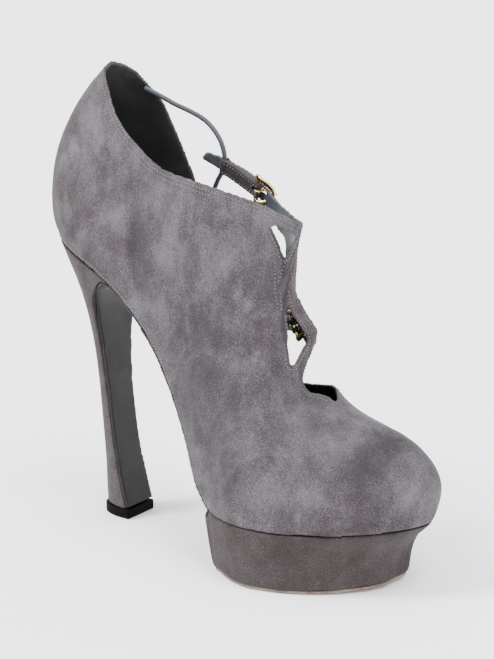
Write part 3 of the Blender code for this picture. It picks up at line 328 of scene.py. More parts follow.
def bowed(points, edges, picked):
    """How far the middles of the picked edges bow out, from the sharp lines that they belong to."""
    lines = edges[picked]
    count = np.bincount(lines.reshape(-1), minlength=len(points))
    way = points[lines[:, 1]] - points[lines[:, 0]]
    # At a point of two lines, the tangent runs from one neighbour to the other.
    first = np.full(len(points), -1)
    second = np.full(len(points), -1)
    for start, end in np.concatenate([lines, lines[:, ::-1]]).tolist():
        if first[start] < 0:
            first[start] = end
        else:
            second[start] = end
    known = (count == 2) & (second >= 0)
    tangent = np.zeros_like(points)
    tangent[known] = unit(points[second[known]] - points[first[known]])
    length = np.linalg.norm(way, axis=1)[:, None]
    ta, tb = tangent[lines[:, 0]], tangent[lines[:, 1]]
    ta = ta * np.sign((ta * way).sum(1))[:, None]
    tb = tb * np.sign((tb * way).sum(1))[:, None]
    fair = known[lines[:, 0]] & known[lines[:, 1]]
    fair &= ((unit(way) * ta).sum(1) > 0.8) & ((unit(way) * tb).sum(1) > 0.8)
    return np.where(fair[:, None], (ta - tb) * length / 8, 0.0)


def new_object(name, data):
    """A new object in the scene."""
    made = bpy.data.objects.new(name, data)
    bpy.context.scene.collection.objects.link(made)
    return made


def object_from(name, points, faces):
    """A new mesh object from arrays, with smooth faces."""
    mesh = bpy.data.meshes.new(name)
    mesh.vertices.add(len(points))
    mesh.vertices.foreach_set("co", np.asarray(points, np.float64).reshape(-1))
    faces = np.asarray(faces, np.int32)
    sides = faces.shape[1]
    mesh.loops.add(faces.size)
    mesh.loops.foreach_set("vertex_index", faces.reshape(-1))
    mesh.polygons.add(len(faces))
    mesh.polygons.foreach_set("loop_start", np.arange(0, faces.size, sides, dtype=np.int32))
    mesh.polygons.foreach_set("loop_total", np.full(len(faces), sides, np.int32))
    mesh.update(calc_edges=True)
    mesh.validate()
    mesh.shade_smooth()
    return new_object(name, mesh)


def points_of(mesh):
    """The places of a mesh's points, as rows."""
    points = np.empty(len(mesh.vertices) * 3)
    mesh.vertices.foreach_get("co", points)
    return points.reshape(-1, 3)


def evened(name, points, faces, cell):
    """The same form in small even faces, with its edges softened to about one cell."""
    rough = object_from(name + "_rough", points, faces)
    remesh = rough.modifiers.new("even", "REMESH")
    remesh.mode = "VOXEL"
    remesh.voxel_size = cell
    remesh.use_smooth_shade = True
    graph = bpy.context.evaluated_depsgraph_get()
    mesh = bpy.data.meshes.new_from_object(rough.evaluated_get(graph))
    bpy.data.objects.remove(rough, do_unlink=True)
    mesh.name = name
    return mesh


def thinned(obj, share):
    """The object's mesh with fewer faces where it is flat."""
    thin = obj.modifiers.new("thin", "DECIMATE")
    thin.ratio = share
    graph = bpy.context.evaluated_depsgraph_get()
    mesh = bpy.data.meshes.new_from_object(obj.evaluated_get(graph))
    obj.modifiers.remove(thin)
    return mesh


def tree_of(mesh):
    """The faces of a mesh, ready to be searched for the one that is nearest."""
    sides = [tuple(face.vertices) for face in mesh.polygons]
    return BVHTree.FromPolygons([tuple(point) for point in points_of(mesh)], sides)


def relaxed(mesh, rounds, share=0.5, back_share=1.04):
    """Moves each point towards the middle of its neighbours, then back by a little more, to keep the size."""
    points = points_of(mesh)
    ends = np.empty(len(mesh.edges) * 2, np.int32)
    mesh.edges.foreach_get("vertices", ends)
    ends = ends.reshape(-1, 2)
    count = np.bincount(ends.reshape(-1), minlength=len(points))[:, None]
    for turn in range(rounds * 2):
        total = np.empty_like(points)
        for axis in range(3):
            there = np.bincount(ends[:, 0], points[ends[:, 1], axis], len(points))
            back = np.bincount(ends[:, 1], points[ends[:, 0], axis], len(points))
            total[:, axis] = there + back
        step = share if turn % 2 == 0 else -share * back_share
        points += (total / count - points) * step
    mesh.vertices.foreach_set("co", points.reshape(-1))
    mesh.update()
    return points


def vertex_normals(mesh):
    """The smooth normal at each point of a mesh."""
    normals = np.empty(len(mesh.vertices) * 3)
    mesh.vertex_normals.foreach_get("vector", normals)
    return normals.reshape(-1, 3)


def moved_out(mesh, amount):
    """Moves each point along its normal."""
    points = points_of(mesh) + vertex_normals(mesh) * amount[:, None]
    mesh.vertices.foreach_set("co", points.reshape(-1))
    mesh.update()


# The shape of wear


def away_from_middle(points):
    """The direction that leads out of the shoe at each point."""
    rows = table_rows(SPINE)
    fronts = table_rows(INSIDE_FRONT)
    x = np.array([row["x"] for row in rows])
    front = np.interp(points[:, 2], [row["z"] for row in fronts], [row["x"] for row in fronts])
    middle = np.empty_like(points)
    middle[:, 0] = np.clip(points[:, 0], x[0], front)
    along = np.where(points[:, 2] < VAMP_TOP, points[:, 0], middle[:, 0])
    low = np.interp(along, x, [row["low"] for row in rows])
    high = np.interp(along, x, [row["high"] for row in rows])
    middle[:, 1] = MIDDLE_Y
    middle[:, 2] = np.clip(points[:, 2], low, high)
    return unit(points - middle)


def fold_depth(points):
    """How deep the folds press in at each point."""
    depth = np.zeros(len(points))
    for fold in table_rows(FOLDS):
        a = np.array([fold["x1"], fold["y1"], fold["z1"]])
        b = np.array([fold["x2"], fold["y2"], fold["z2"]])
        way = b - a
        share = np.clip((points - a) @ way / (way @ way), 0, 1)
        off = np.linalg.norm(points - a - share[:, None] * way, axis=1)
        fade = np.clip(np.minimum(share, 1 - share) * FOLD_RATE + FOLD_END, 0, 1)
        near = off / fold["width"]
        ridge = RIDGE_SHARE * np.exp(-((near - RIDGE_AT) ** 2))
        depth += fold["depth"] * fade * (np.exp(-near**2) - ridge)
    return depth


def past_front_edge(points):
    """How far each point lies past the quarter's front edge, and whether it is beside that edge, 0 to 1."""
    z, x = front_edge()
    height = points[:, 2]
    past = (points[:, 0] - np.interp(height, z, x)) / SIDE_SLANT
    within = np.clip((height - z[0]) / EDGE_ENDS, 0, 1) * np.clip((z[-1] - height) / EDGE_ENDS, 0, 1)
    near = (np.abs(past) < EDGE_NEAR) & (points[:, 1] < 0)
    return past, within * near


def edge_step(points):
    """How deep the straps lie under the quarter just past its front edge."""
    past, within = past_front_edge(points)
    return EDGE_STEP * within * np.clip(past / EDGE_FACE, 0, 1) * np.exp(-np.maximum(past, 0) / EDGE_FADE)


def edge_shade(points):
    """The dark line at the foot of that step."""
    past, within = past_front_edge(points)
    return -SHADE_DEPTH * within * np.exp(-(((past - SHADE_AT) / SHADE_AT) ** 2))


def spots_of_wear_and_shade(points):
    """Pale above 0 where the suede is rubbed, dark below 0 where shade is painted, from the table of spots.
    """
    light = np.zeros(len(points))
    for spot in table_rows(WEAR_AND_SHADE_SPOTS):
        off = np.hypot(points[:, 0] - spot["x"], points[:, 2] - spot["z"])
        light += spot["light"] * np.exp(-((off / spot["reach"]) ** 2))
    return light


def uneven(points, size, seed):
    """Slow random waves over a surface, from -1 to 1."""
    shift = Vector((seed * 3.1, seed * 1.7, seed * 2.3))
    return np.array([noise.noise(Vector(p) / size + shift) for p in points.tolist()])


def put_values(mesh, name, values):
    """Gives a mesh a named value at each point, for its material to read."""
    layer = mesh.attributes.new(name, "FLOAT", "POINT")
    layer.data.foreach_set("value", np.asarray(values, np.float32))


# Shader groups and materials


class Net:
    """Short names for making and joining shader nodes."""

    def __init__(self, tree):
        self.tree = tree

    def node(self, kind, **settings):
        made = self.tree.nodes.new(kind)
        for key, value in settings.items():
            setattr(made, key, value)
        return made

    def join(self, source, target):
        self.tree.links.new(source, target)

    def noise(self, vector, scale, detail=4.0, rough=0.55, twist=0.0):
        made = self.node("ShaderNodeTexNoise")
        self.join(vector, made.inputs["Vector"])
        self.set(made.inputs["Scale"], scale)
        made.inputs["Detail"].default_value = detail
        made.inputs["Roughness"].default_value = rough
        made.inputs["Distortion"].default_value = twist
        return made.outputs["Fac"]

    def set(self, socket, value):
        if hasattr(value, "links"):
            self.join(value, socket)
        else:
            socket.default_value = value

    def ramp(self, value, low, high, start=0.0, end=1.0):
        made = self.node("ShaderNodeMapRange", interpolation_type="SMOOTHSTEP")
        self.set(made.inputs["Value"], value)
        for key, number in zip(("From Min", "From Max", "To Min", "To Max"), (low, high, start, end)):
            self.set(made.inputs[key], number)
        return made.outputs["Result"]

    def math(self, operation, first, second=0.0):
        made = self.node("ShaderNodeMath", operation=operation)
        self.set(made.inputs[0], first)
        self.set(made.inputs[1], second)
        return made.outputs[0]

    def around_half(self, value, factor):
        """How far a value lies from one half, times a factor."""
        return self.math("MULTIPLY", self.math("SUBTRACT", value, 0.5), factor)

    def mix(self, share, first, second):
        made = self.node("ShaderNodeMix", data_type="RGBA")
        self.set(made.inputs["Factor"], share)
        self.set(made.inputs["A"], first)
        self.set(made.inputs["B"], second)
        return made.outputs["Result"]

    def bump(self, height, strength, distance):
        made = self.node("ShaderNodeBump")
        made.inputs["Strength"].default_value = strength
        made.inputs["Distance"].default_value = distance
        self.join(height, made.inputs["Height"])
        return made.outputs["Normal"]

    def stretched(self, vector, scale):
        made = self.node("ShaderNodeMapping")
        self.join(vector, made.inputs["Vector"])
        made.inputs["Scale"].default_value = scale
        return made.outputs["Vector"]

    def place(self):
        """Metres in the shoe's frame, the same in every piece."""
        return self.node("ShaderNodeTexCoord").outputs["Object"]


def shader_group(name, inputs, outputs):
    """A new node group with named inputs and outputs, its net, and its two end nodes."""
    tree = bpy.data.node_groups.new(name, "ShaderNodeTree")
    for kind, direction in ((inputs, "INPUT"), (outputs, "OUTPUT")):
        for label, (socket, value) in kind.items():
            made = tree.interface.new_socket(label, in_out=direction, socket_type=socket)
            if value is not None:
                made.default_value = value
    net = Net(tree)
    return tree, net, net.node("NodeGroupInput").outputs, net.node("NodeGroupOutput").inputs


COLOR, VALUE = "NodeSocketColor", "NodeSocketFloat"


def make_nap_group():
    """Brushed nap: slow clouds, finer patches, short hairs, and the rubbed spots and painted shade that it is
    given.
    """
    tree, net, given, out = shader_group(
        "brushed_nap",
        {
            "Deep": (COLOR, (0.05, 0.045, 0.05, 1)),
            "Base": (COLOR, (0.12, 0.11, 0.12, 1)),
            "Pale": (COLOR, (0.24, 0.23, 0.25, 1)),
            "Warm": (COLOR, (0.10, 0.075, 0.08, 1)),
            "Wear and painted shade": (VALUE, 0.0),
            "Contrast": (VALUE, 1.0),
        },
        {"Color": (COLOR, None), "Height": (VALUE, None), "Rough": (VALUE, None)},
    )
    place = net.place()
    clouds = net.noise(place, 34.0, 5.0, 0.62, 0.6)
    patches = net.noise(net.stretched(place, (1.0, 1.0, 0.55)), 120.0, 4.0, 0.6, 0.4)
    flecks = net.noise(place, 2000.0, 2.0, 0.6)
    hairs = net.noise(net.stretched(place, (1.0, 1.0, 0.6)), 3900.0, 2.0, 0.7)
    tint = net.noise(place, 21.0, 3.0, 0.5, 0.3)
    light = net.around_half(clouds, 2.3)
    light = net.math("ADD", light, net.around_half(patches, 1.3))
    light = net.math("MULTIPLY", light, given["Contrast"])
    # Rubbed spots lighten the nap, and the painted shade darkens it
    light = net.math("ADD", light, net.math("MULTIPLY", given["Wear and painted shade"], 0.75))
    light = net.math("ADD", light, net.around_half(flecks, 3.0))
    light = net.math("ADD", light, net.around_half(hairs, 4.4))
    color = net.mix(net.ramp(tint, 0.42, 0.66, 0.0, 0.75), given["Base"], given["Warm"])
    color = net.mix(net.ramp(light, 0.0, 1.0), color, given["Pale"])
    color = net.mix(net.ramp(light, 0.0, -1.0), color, given["Deep"])
    net.join(color, out["Color"])
    height = net.math("ADD", net.math("MULTIPLY", flecks, 0.6), net.math("MULTIPLY", hairs, 0.4))
    net.join(height, out["Height"])
    net.join(net.ramp(light, -0.6, 0.8, 0.86, 1.0), out["Rough"])
    return tree


def make_grain_group():
    """Smooth leather: fine pores, faint long wrinkles and rubbed edges."""
    tree, net, given, out = shader_group(
        "leather_grain",
        {
            "Base": (COLOR, (0.12, 0.12, 0.12, 1)),
            "Worn": (COLOR, (0.25, 0.24, 0.23, 1)),
            "Pores": (VALUE, 900.0),
        },
        {"Color": (COLOR, None), "Height": (VALUE, None), "Rough": (VALUE, None)},
    )
    place = net.place()
    pores = net.node("ShaderNodeTexVoronoi")
    net.join(place, pores.inputs["Vector"])
    net.join(given["Pores"], pores.inputs["Scale"])
    cells = net.ramp(pores.outputs["Distance"], 0.0, 0.6)
    clouds = net.noise(place, 60.0, 4.0, 0.6, 0.3)
    lines = net.noise(net.stretched(place, (1.0, 1.0, 0.2)), 260.0, 3.0, 0.6, 0.8)
    wear = net.ramp(net.math("ADD", clouds, net.math("MULTIPLY", lines, 0.35)), 0.62, 0.95)
    net.join(net.mix(net.math("MULTIPLY", wear, 0.55), given["Base"], given["Worn"]), out["Color"])
    height = net.math("ADD", net.math("MULTIPLY", cells, 0.5), net.math("MULTIPLY", lines, 0.5))
    net.join(height, out["Height"])
    net.join(net.ramp(clouds, 0.3, 0.7, 0.42, 0.58), out["Rough"])
    return tree


NAP = make_nap_group()
GRAIN = make_grain_group()


def new_material(name):
    """A material with its net and its Principled shader."""
    made = bpy.data.materials.new(name)
    made.use_nodes = True
    shader = made.node_tree.nodes["Principled BSDF"]
    return made, Net(made.node_tree), shader


def suede(name, deep, base, pale, warm, contrast=1.0, sheen=0.06, wear_and_painted_shade=True):
    """Brushed suede with a soft sheen at its turned edges."""
    made, net, shader = new_material(name)
    nap = net.node("ShaderNodeGroup", node_tree=NAP)
    for label, value in (("Deep", deep), ("Base", base), ("Pale", pale), ("Warm", warm)):
        nap.inputs[label].default_value = value
    nap.inputs["Contrast"].default_value = contrast
    # The suede that reads them gets its rubbed spots and its painted shade from its points
    if wear_and_painted_shade:
        spots = net.node("ShaderNodeAttribute", attribute_name="wear_and_painted_shade")
        net.join(spots.outputs["Fac"], nap.inputs["Wear and painted shade"])
    net.join(nap.outputs["Color"], shader.inputs["Base Color"])
    net.join(nap.outputs["Rough"], shader.inputs["Roughness"])
    net.join(net.bump(nap.outputs["Height"], 0.55, 0.00035), shader.inputs["Normal"])
    shader.inputs["Specular IOR Level"].default_value = 0.12
    shader.inputs["Sheen Weight"].default_value = sheen
    shader.inputs["Sheen Roughness"].default_value = 0.45
    shader.inputs["Sheen Tint"].default_value = (0.86, 0.84, 0.88, 1)
    return made


def leather(name, base, worn, pores=900.0, depth=0.00008, gloss=0.35):
    """Smooth leather, lining or waxed thread, with pores and rubbed places."""
    made, net, shader = new_material(name)
    grain = net.node("ShaderNodeGroup", node_tree=GRAIN)
    grain.inputs["Base"].default_value = base
    grain.inputs["Worn"].default_value = worn
    grain.inputs["Pores"].default_value = pores
    net.join(grain.outputs["Color"], shader.inputs["Base Color"])
    net.join(grain.outputs["Rough"], shader.inputs["Roughness"])
    net.join(net.bump(grain.outputs["Height"], 0.5, depth), shader.inputs["Normal"])
    shader.inputs["Specular IOR Level"].default_value = gloss
    return made


def worn_sole_edge():
    """Tan leather edge with a dark line and orange flecks where the dye has chipped."""
    made, net, shader = new_material("sole_leather_worn")
    place = net.place()
    chips = net.noise(net.stretched(place, (1.0, 1.0, 2.5)), 420.0, 3.0, 0.7, 0.5)
    clouds = net.noise(place, 90.0, 4.0, 0.6)
    color = net.mix(net.ramp(clouds, 0.35, 0.7), (0.12, 0.095, 0.08, 1), (0.26, 0.21, 0.17, 1))
    color = net.mix(net.ramp(chips, 0.56, 0.66), color, (0.45, 0.20, 0.08, 1))
    color = net.mix(net.ramp(chips, 0.40, 0.32), color, (0.04, 0.036, 0.036, 1))
    net.join(color, shader.inputs["Base Color"])
    net.join(net.ramp(clouds, 0.3, 0.7, 0.55, 0.8), shader.inputs["Roughness"])
    net.join(net.bump(chips, 0.5, 0.0002), shader.inputs["Normal"])
    return made


def gold(name):
    """Polished plate with faint scratches."""
    made, net, shader = new_material(name)
    place = net.place()
    scratches = net.noise(net.stretched(place, (1.0, 0.25, 1.0)), 2600.0, 2.0, 0.6)
    clouds = net.noise(place, 300.0, 3.0, 0.6)
    color = net.mix(net.ramp(clouds, 0.35, 0.75), (0.83, 0.56, 0.22, 1), (0.90, 0.68, 0.36, 1))
    net.join(color, shader.inputs["Base Color"])
    net.join(net.ramp(scratches, 0.3, 0.7, 0.16, 0.30), shader.inputs["Roughness"])
    net.join(net.bump(scratches, 0.15, 0.00004), shader.inputs["Normal"])
    shader.inputs["Metallic"].default_value = 1.0
    return made


def rubber():
    """Black rubber, dusty and scuffed."""
    made, net, shader = new_material("black_rubber_worn")
    place = net.place()
    specks = net.noise(place, 1400.0, 3.0, 0.6)
    dust = net.noise(place, 160.0, 4.0, 0.65)
    share = net.ramp(dust, 0.5, 0.8, 0.0, 0.5)
    color = net.mix(share, (0.0014, 0.0014, 0.0017, 1), (0.006, 0.006, 0.007, 1))
    net.join(color, shader.inputs["Base Color"])
    net.join(net.ramp(dust, 0.3, 0.7, 0.5, 0.7), shader.inputs["Roughness"])
    net.join(net.bump(specks, 0.4, 0.0001), shader.inputs["Normal"])
    shader.inputs["Specular IOR Level"].default_value = 0.05
    return made


MATERIALS = {
    "suede": suede(
        "grey_suede_brushed", (0.0240, 0.0210, 0.0240, 1), (0.0540, 0.0480, 0.0540, 1),
        (0.1110, 0.1050, 0.1170, 1), (0.0516, 0.0408, 0.0444, 1), contrast=1.5),
    "platform": suede(
        "platform_suede_brushed", (0.0180, 0.0144, 0.0156, 1), (0.0348, 0.0288, 0.0300, 1),
        (0.0630, 0.0552, 0.0576, 1), (0.0348, 0.0258, 0.0258, 1), wear_and_painted_shade=False),
    "heel": suede(
        "heel_suede_brushed", (0.0204, 0.0174, 0.0186, 1), (0.0444, 0.0384, 0.0408, 1),
        (0.0840, 0.0780, 0.0828, 1), (0.0420, 0.0312, 0.0324, 1), wear_and_painted_shade=False),
    "piece": suede(
        "strap_suede_brushed", (0.0180, 0.0126, 0.0156, 1), (0.0420, 0.0324, 0.0384, 1),
        (0.0810, 0.0690, 0.0780, 1), (0.0432, 0.0300, 0.0336, 1), wear_and_painted_shade=False),
    "lining": leather("dark_lining", (0.0230, 0.0250, 0.0237, 1), (0.0480, 0.0516, 0.0492, 1), 1500.0),
    "strap_back": leather("grey_blue_lining", (0.0510, 0.0570, 0.0672, 1), (0.0900, 0.0960, 0.1080, 1)),
    "edge": leather("cut_edge", (0.0300, 0.0252, 0.0252, 1), (0.0780, 0.0570, 0.0450, 1), 1800.0),
    "insole": leather("insole_dark", (0.0132, 0.0132, 0.0144, 1), (0.0300, 0.0300, 0.0330, 1)),
    # The waist cover's dark grey leather, painted darker than its own colour to stand for the shade under the
    # arch
    "cover": leather(
        "smooth_grey_shaded_darker", (0.0125, 0.0122, 0.0117, 1), (0.0290, 0.0282, 0.0272, 1), 1300.0, gloss=0.2),
    "cord": leather("grey_blue_cord", (0.0420, 0.0468, 0.0588, 1), (0.0720, 0.0780, 0.0930, 1), 1600.0),
    # The low band's own dark lining, painted darker still to stand for the deep shade it lies in
    "band": leather("band_lining_painted_darker", (0.0084, 0.0084, 0.0096, 1), (0.0240, 0.0216, 0.0216, 1), 1500.0),
    "thread": leather("grey_thread", (0.115, 0.108, 0.116, 1), (0.16, 0.152, 0.162, 1), 3000.0),
    "sole": worn_sole_edge(),
    "lift": rubber(),
    "gold": gold("gold_plate"),
}


def wears(obj, *names):
    """Gives an object these materials, in this order of slots."""
    obj.data.materials.clear()
    for name in names:
        obj.data.materials.append(MATERIALS[name])


def stands_for(obj, node):
    """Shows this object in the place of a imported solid."""
    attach(obj, "root")
    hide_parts(node)
    return obj


# The pieces made again from their solids, with the height of their waves and how much fuller they get
PIECES = {
    "columns": ("node", "slot", "material", "cell", "rounds", "wave", "fuller"),
    "rows": [
        ("platform", "platform_suede", "platform", 0.0010, 3, 0.00012, 0.0),
        ("heel", "heel_suede", "heel", 0.00062, 2, 0.00012, 0.0),
        ("insole", "insole_leather", "insole", 0.0011, 2, 0.00012, 0.0013),
        # The waist cover's leather is painted darker, as painted shade under the arch
        ("waist_cover", "smooth_grey_leather", "cover", 0.0008, 2, 0.00005, 0.0),
        ("outsole", "sole_leather", "sole", 0.0008, 1, 0.0, 0.0),
        ("top_lift", "black_rubber", "lift", 0.0004, 1, 0.0, 0.0),
        # The low band wears its lining painted darker, as painted shade
        ("low_band", "band_lining", "band", 0.0006, 2, 0.0, 0.0),
    ],
}
# The length of the waves over those pieces
WAVE_SIZE = 0.018


def dressed(node, slot, material, cell, rounds, wave=0.0, fuller=0.0):
    """A piece made again from its solid, evened and softened, in one material."""
    mesh = evened(node + "_dressed", *rounded(*solid_of(node)), cell)
    points = relaxed(mesh, rounds)
    if wave or fuller:
        moved_out(mesh, uneven(points, WAVE_SIZE, len(node)) * wave + fuller)
    obj = new_object(node + "_dressed", mesh)
    mesh.shade_smooth()
    wears(obj, material)
    return stands_for(obj, node)


# The upper


def sharp_lines(points, faces, sharp=50.0, way=1, least=0.45):
    """The sharp edges of a mesh as chains of points, with the normal of the face beside each.

    Way is 1 for the edges of the outside of the shoe and -1 for those of its inside, and least says
    how squarely the face has to look that way."""
    normals, _ = face_normals(points, faces)
    edges, pairs, _ = edges_of(faces)
    bend = (normals[pairs[:, 0]] * normals[pairs[:, 1]]).sum(1)
    picked = np.flatnonzero(bend < math.cos(math.radians(sharp)))
    out = way * away_from_middle((points[edges[picked, 0]] + points[edges[picked, 1]]) / 2)
    side = np.stack([(normals[pairs[picked, k]] * out).sum(1) for k in (0, 1)], 1)
    outer = side.max(1) > least
    picked, which = picked[outer], side[outer].argmax(1)
    face = pairs[picked, which]
    links = {}
    for number, (start, end) in enumerate(edges[picked].tolist()):
        links.setdefault(start, []).append((end, number))
        links.setdefault(end, []).append((start, number))
    used = set()
    chains = []
    for begin in sorted(links, key=lambda spot: len(links[spot])):
        for end, number in links[begin]:
            if number in used:
                continue
            chain = [(begin, number)]
            used.add(number)
            at = end
            while True:
                onward = [(e, n) for e, n in links[at] if n not in used]
                if not onward or len(links[at]) != 2:
                    chain.append((at, chain[-1][1]))
                    break
                chain.append((at, onward[0][1]))
                used.add(onward[0][1])
                at = onward[0][0]
            spots = points[[spot for spot, _ in chain]]
            beside = normals[face[[number for _, number in chain]]]
            chains.append((spots, beside))
    return chains


def even_steps(line, step, extra):
    """Points at equal steps along a line, with a second array carried along, or None on a short line."""
    length = np.concatenate([[0], np.cumsum(np.linalg.norm(np.diff(line, axis=0), axis=1))])
    if length[-1] < step * 3:
        return None
    at = np.arange(step / 2, length[-1], step)
    return [np.stack([np.interp(at, length, row[:, k]) for k in range(3)], 1) for row in (line, extra)]


def smoothed_line(line, rounds):
    """The rows of a line, each drawn towards its two neighbours."""
    for _ in range(rounds):
        line[1:-1] = (line[:-2] + 2 * line[1:-1] + line[2:]) / 4
    return line


def stitch_rows(name, chains, tree, inset, step=STITCH_GAP, keep=None):
    """Short threads on the surface, beside each chain and inset from it, as one piece."""
    points, faces = [], []
    for spots, beside in chains:
        fine = even_steps(spots, EDGE_STEPS, beside)
        if fine is None:
            continue
        line, normal = smoothed_line(fine[0], 4), unit(smoothed_line(fine[1], 4))
        way = unit(np.gradient(line, axis=0))
        inward = np.cross(normal, way)
        rows = []
        for sign in (1, -1):
            places = (line + inward * inset * sign).tolist()
            found = [tree.find_nearest(Vector(place), STITCH_REACH) for place in places]
            off = [f[3] if f[0] is not None else 1.0 for f in found]
            rows.append((np.median(off), sign, found))
        _, sign, found = min(rows, key=lambda row: row[0])
        spots_on = [(np.array(f[0]), np.array(f[1])) for f in found if f[0] is not None]
        if len(spots_on) < 5:
            continue
        path = smoothed_line(np.array([spot for spot, _ in spots_on]), 2)
        normals = np.array([normal for _, normal in spots_on])
        again = even_steps(path, step, normals)
        if again is None:
            continue
        path, normals = again
        ways = unit(np.gradient(path, axis=0))
        for spot, way_on, up in zip(path, ways, unit(normals)):
            if keep is not None and not keep(spot):
                continue
            add_thread(points, faces, spot, way_on, up)
    if points:
        made = object_from(name, np.array(points), np.array(faces))
        wears(made, "thread")
        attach(made, "root")


def add_thread(points, faces, spot, way, up):
    """One stitch: a small tapered tube that dips in at both ends."""
    side = np.cross(up, way)
    start = len(points)
    for row in table_rows(THREAD):
        centre = spot + way * row["along"] * STITCH_LENGTH + up * THREAD_RADIUS * row["lift"]
        for turn in range(THREAD_SIDES):
            angle = 2 * math.pi * turn / THREAD_SIDES
            ring = side * math.cos(angle) + up * math.sin(angle)
            points.append(centre + ring * THREAD_RADIUS * row["size"])
    for ring in range(start, len(points) - THREAD_SIDES, THREAD_SIDES):
        for turn in range(THREAD_SIDES):
            a, b = ring + turn, ring + (turn + 1) % THREAD_SIDES
            faces.append((a, b, b + THREAD_SIDES, a + THREAD_SIDES))


def inner_side(tree, x, z):
    """The spot that the inner side shows at this length and height."""
    return tuple(tree.ray_cast(Vector((x, -1.0, z)), Vector((0, 1, 0)))[0] or (x, MIDDLE_Y, z))


def make_upper():
    """The hollow suede upper, its lining and cut edges, with its folds, rubbed spots and painted shade."""
    solid_points, solid_faces = solid_of("upper")
    points, faces = rounded(solid_points, solid_faces)
    mesh = evened("upper_dressed", points, faces, UPPER_CELL)
    points = relaxed(mesh, UPPER_ROUNDS)
    normals = vertex_normals(mesh)
    out = (normals * away_from_middle(points)).sum(1)
    wave = sum(uneven(points, row["size"], row["seed"]) * row["height"] for row in table_rows(UPPER_WAVES))
    press = fold_depth(points) + edge_step(points) * (out > 0)
    moved_out(mesh, np.sign(out) * np.clip(np.abs(out) * 2, 0, 1) * (wave - press))
    # The rubbed spots and the painted shade, both the dark spots and the shadow line at the quarter's front
    # edge, go to the suede as one value
    put_values(mesh, "wear_and_painted_shade", spots_of_wear_and_shade(points) + edge_shade(points) * (out > 0))
    obj = new_object("upper_dressed", mesh)
    mesh = obj.data = thinned(obj, UPPER_FACES / (2 * len(mesh.polygons)))
    points = points_of(mesh)
    out = (vertex_normals(mesh) * away_from_middle(points)).sum(1)
    mesh.shade_smooth()
    wears(obj, "suede", "lining", "edge", "strap_back")
    corners = np.empty(len(mesh.loops), np.int32)
    mesh.loops.foreach_get("vertex_index", corners)
    starts = np.empty(len(mesh.polygons), np.int32)
    mesh.polygons.foreach_get("loop_start", starts)
    facing = np.add.reduceat(out[corners], starts) / np.diff(np.append(starts, len(corners)))
    slots = np.where(facing > FACING_OUT, 0, np.where(facing < FACING_IN, 1, 2)).astype(np.int32)
    x, y, z = points[corners[starts]].T
    far_strap = (x > FAR_STRAP_REAR) & (z > FAR_STRAP_LOW) & (y > 0.0)
    slots[(slots == 1) & far_strap] = 3
    mesh.polygons.foreach_set("material_index", slots)
    stands_for(obj, "upper")
    tree = tree_of(mesh)
    chains = sharp_lines(solid_points, solid_faces)
    stitch_rows(
        "edge_stitches", chains, tree, STITCH_IN,
        keep=lambda p: p[2] > FIRST_ROW_LOW)
    stitch_rows(
        "second_stitches", chains, tree, STITCH_IN + STITCH_ROW,
        keep=lambda p: p[2] > SECOND_ROW_LOW and p[0] > SECOND_ROW_REAR and p[1] < 0.0)
    z, x = front_edge()
    heights = np.linspace(z[0], z[-1], 24)
    ways = [np.interp(height, z, x) - FRONT_STITCH_IN for height in heights]
    line = np.array([inner_side(tree, way, height) for way, height in zip(ways, heights)])
    beside = np.tile(FRONT_EDGE_FACING, (len(line), 1))
    stitch_rows(
        "front_edge_stitches", [(line, beside)], tree, 0.0,
        keep=lambda p: FRONT_ROW_LOW < p[2] < FRONT_ROW_HIGH)


# The other pieces


# The rings: radius, half width, half thickness and how far their two ends along the strap rise
BUCKLE_RADIUS, RING_WIDE, RING_TALL, RING_RISE = 0.0063, 0.00155, 0.00100, 0.0047
BAR_RADIUS, PRONG_RADIUS = 0.0007, 0.0005
# How far the prong stays clear of the bar that it turns about, and of the ring that it rests on
HOOK_GAP, REST_GAP = 0.00025, 0.00035
# A prong's hook round the bar in degrees, and its way over the ring: the run from the bar, and the rise
PRONG_HOOK = (300, 265, 230, 195, 160, 130, 105)
PRONG_WAY = {
    "columns": ("run", "share"),
    "rows": [(0.0016, 0.72), (0.0040, 0.98), (0.0056, 1.0), (0.0071, 1.0)],
}
# The middle of each bar, and the directions along the strap, across it and out of it
BUCKLES = {
    "columns": ("name", "spot", "along", "across", "outward"),
    "rows": [
        (
            "top", (-0.00297, 0.02457, 0.16832),
            (-0.889, 0.317, 0.330), (0.280, -0.193, 0.940), (0.361, 0.929, 0.083),
        ),
        (
            "low", (0.03028, 0.00664, 0.11182),
            (-0.595, 0.802, -0.046), (-0.257, -0.136, 0.957), (0.761, 0.581, 0.287),
        ),
    ],
}


def tube_round(path, wide, tall, sides, outward, closed):
    """An oval tube along a path: wide across it, tall along outward."""
    path = np.array(path)
    if closed:
        way = unit(np.roll(path, -1, 0) - np.roll(path, 1, 0))
    else:
        way = unit(np.gradient(path, axis=0))
    side = unit(np.cross(way, np.broadcast_to(outward, way.shape)))
    up = unit(np.cross(side, way))
    angles = np.linspace(0, 2 * math.pi, sides, endpoint=False)[:, None, None]
    wide, tall = (np.broadcast_to(v, len(path))[:, None] for v in (wide, tall))
    rings = path + np.cos(angles) * side * wide + np.sin(angles) * up * tall
    points = rings.transpose(1, 0, 2).reshape(-1, 3)
    faces = []
    for k in range(len(path) if closed else len(path) - 1):
        after = (k + 1) % len(path)
        for j in range(sides):
            turned = (j + 1) % sides
            faces.append((k * sides + j, k * sides + turned, after * sides + turned, after * sides + j))
    return points, np.array(faces)


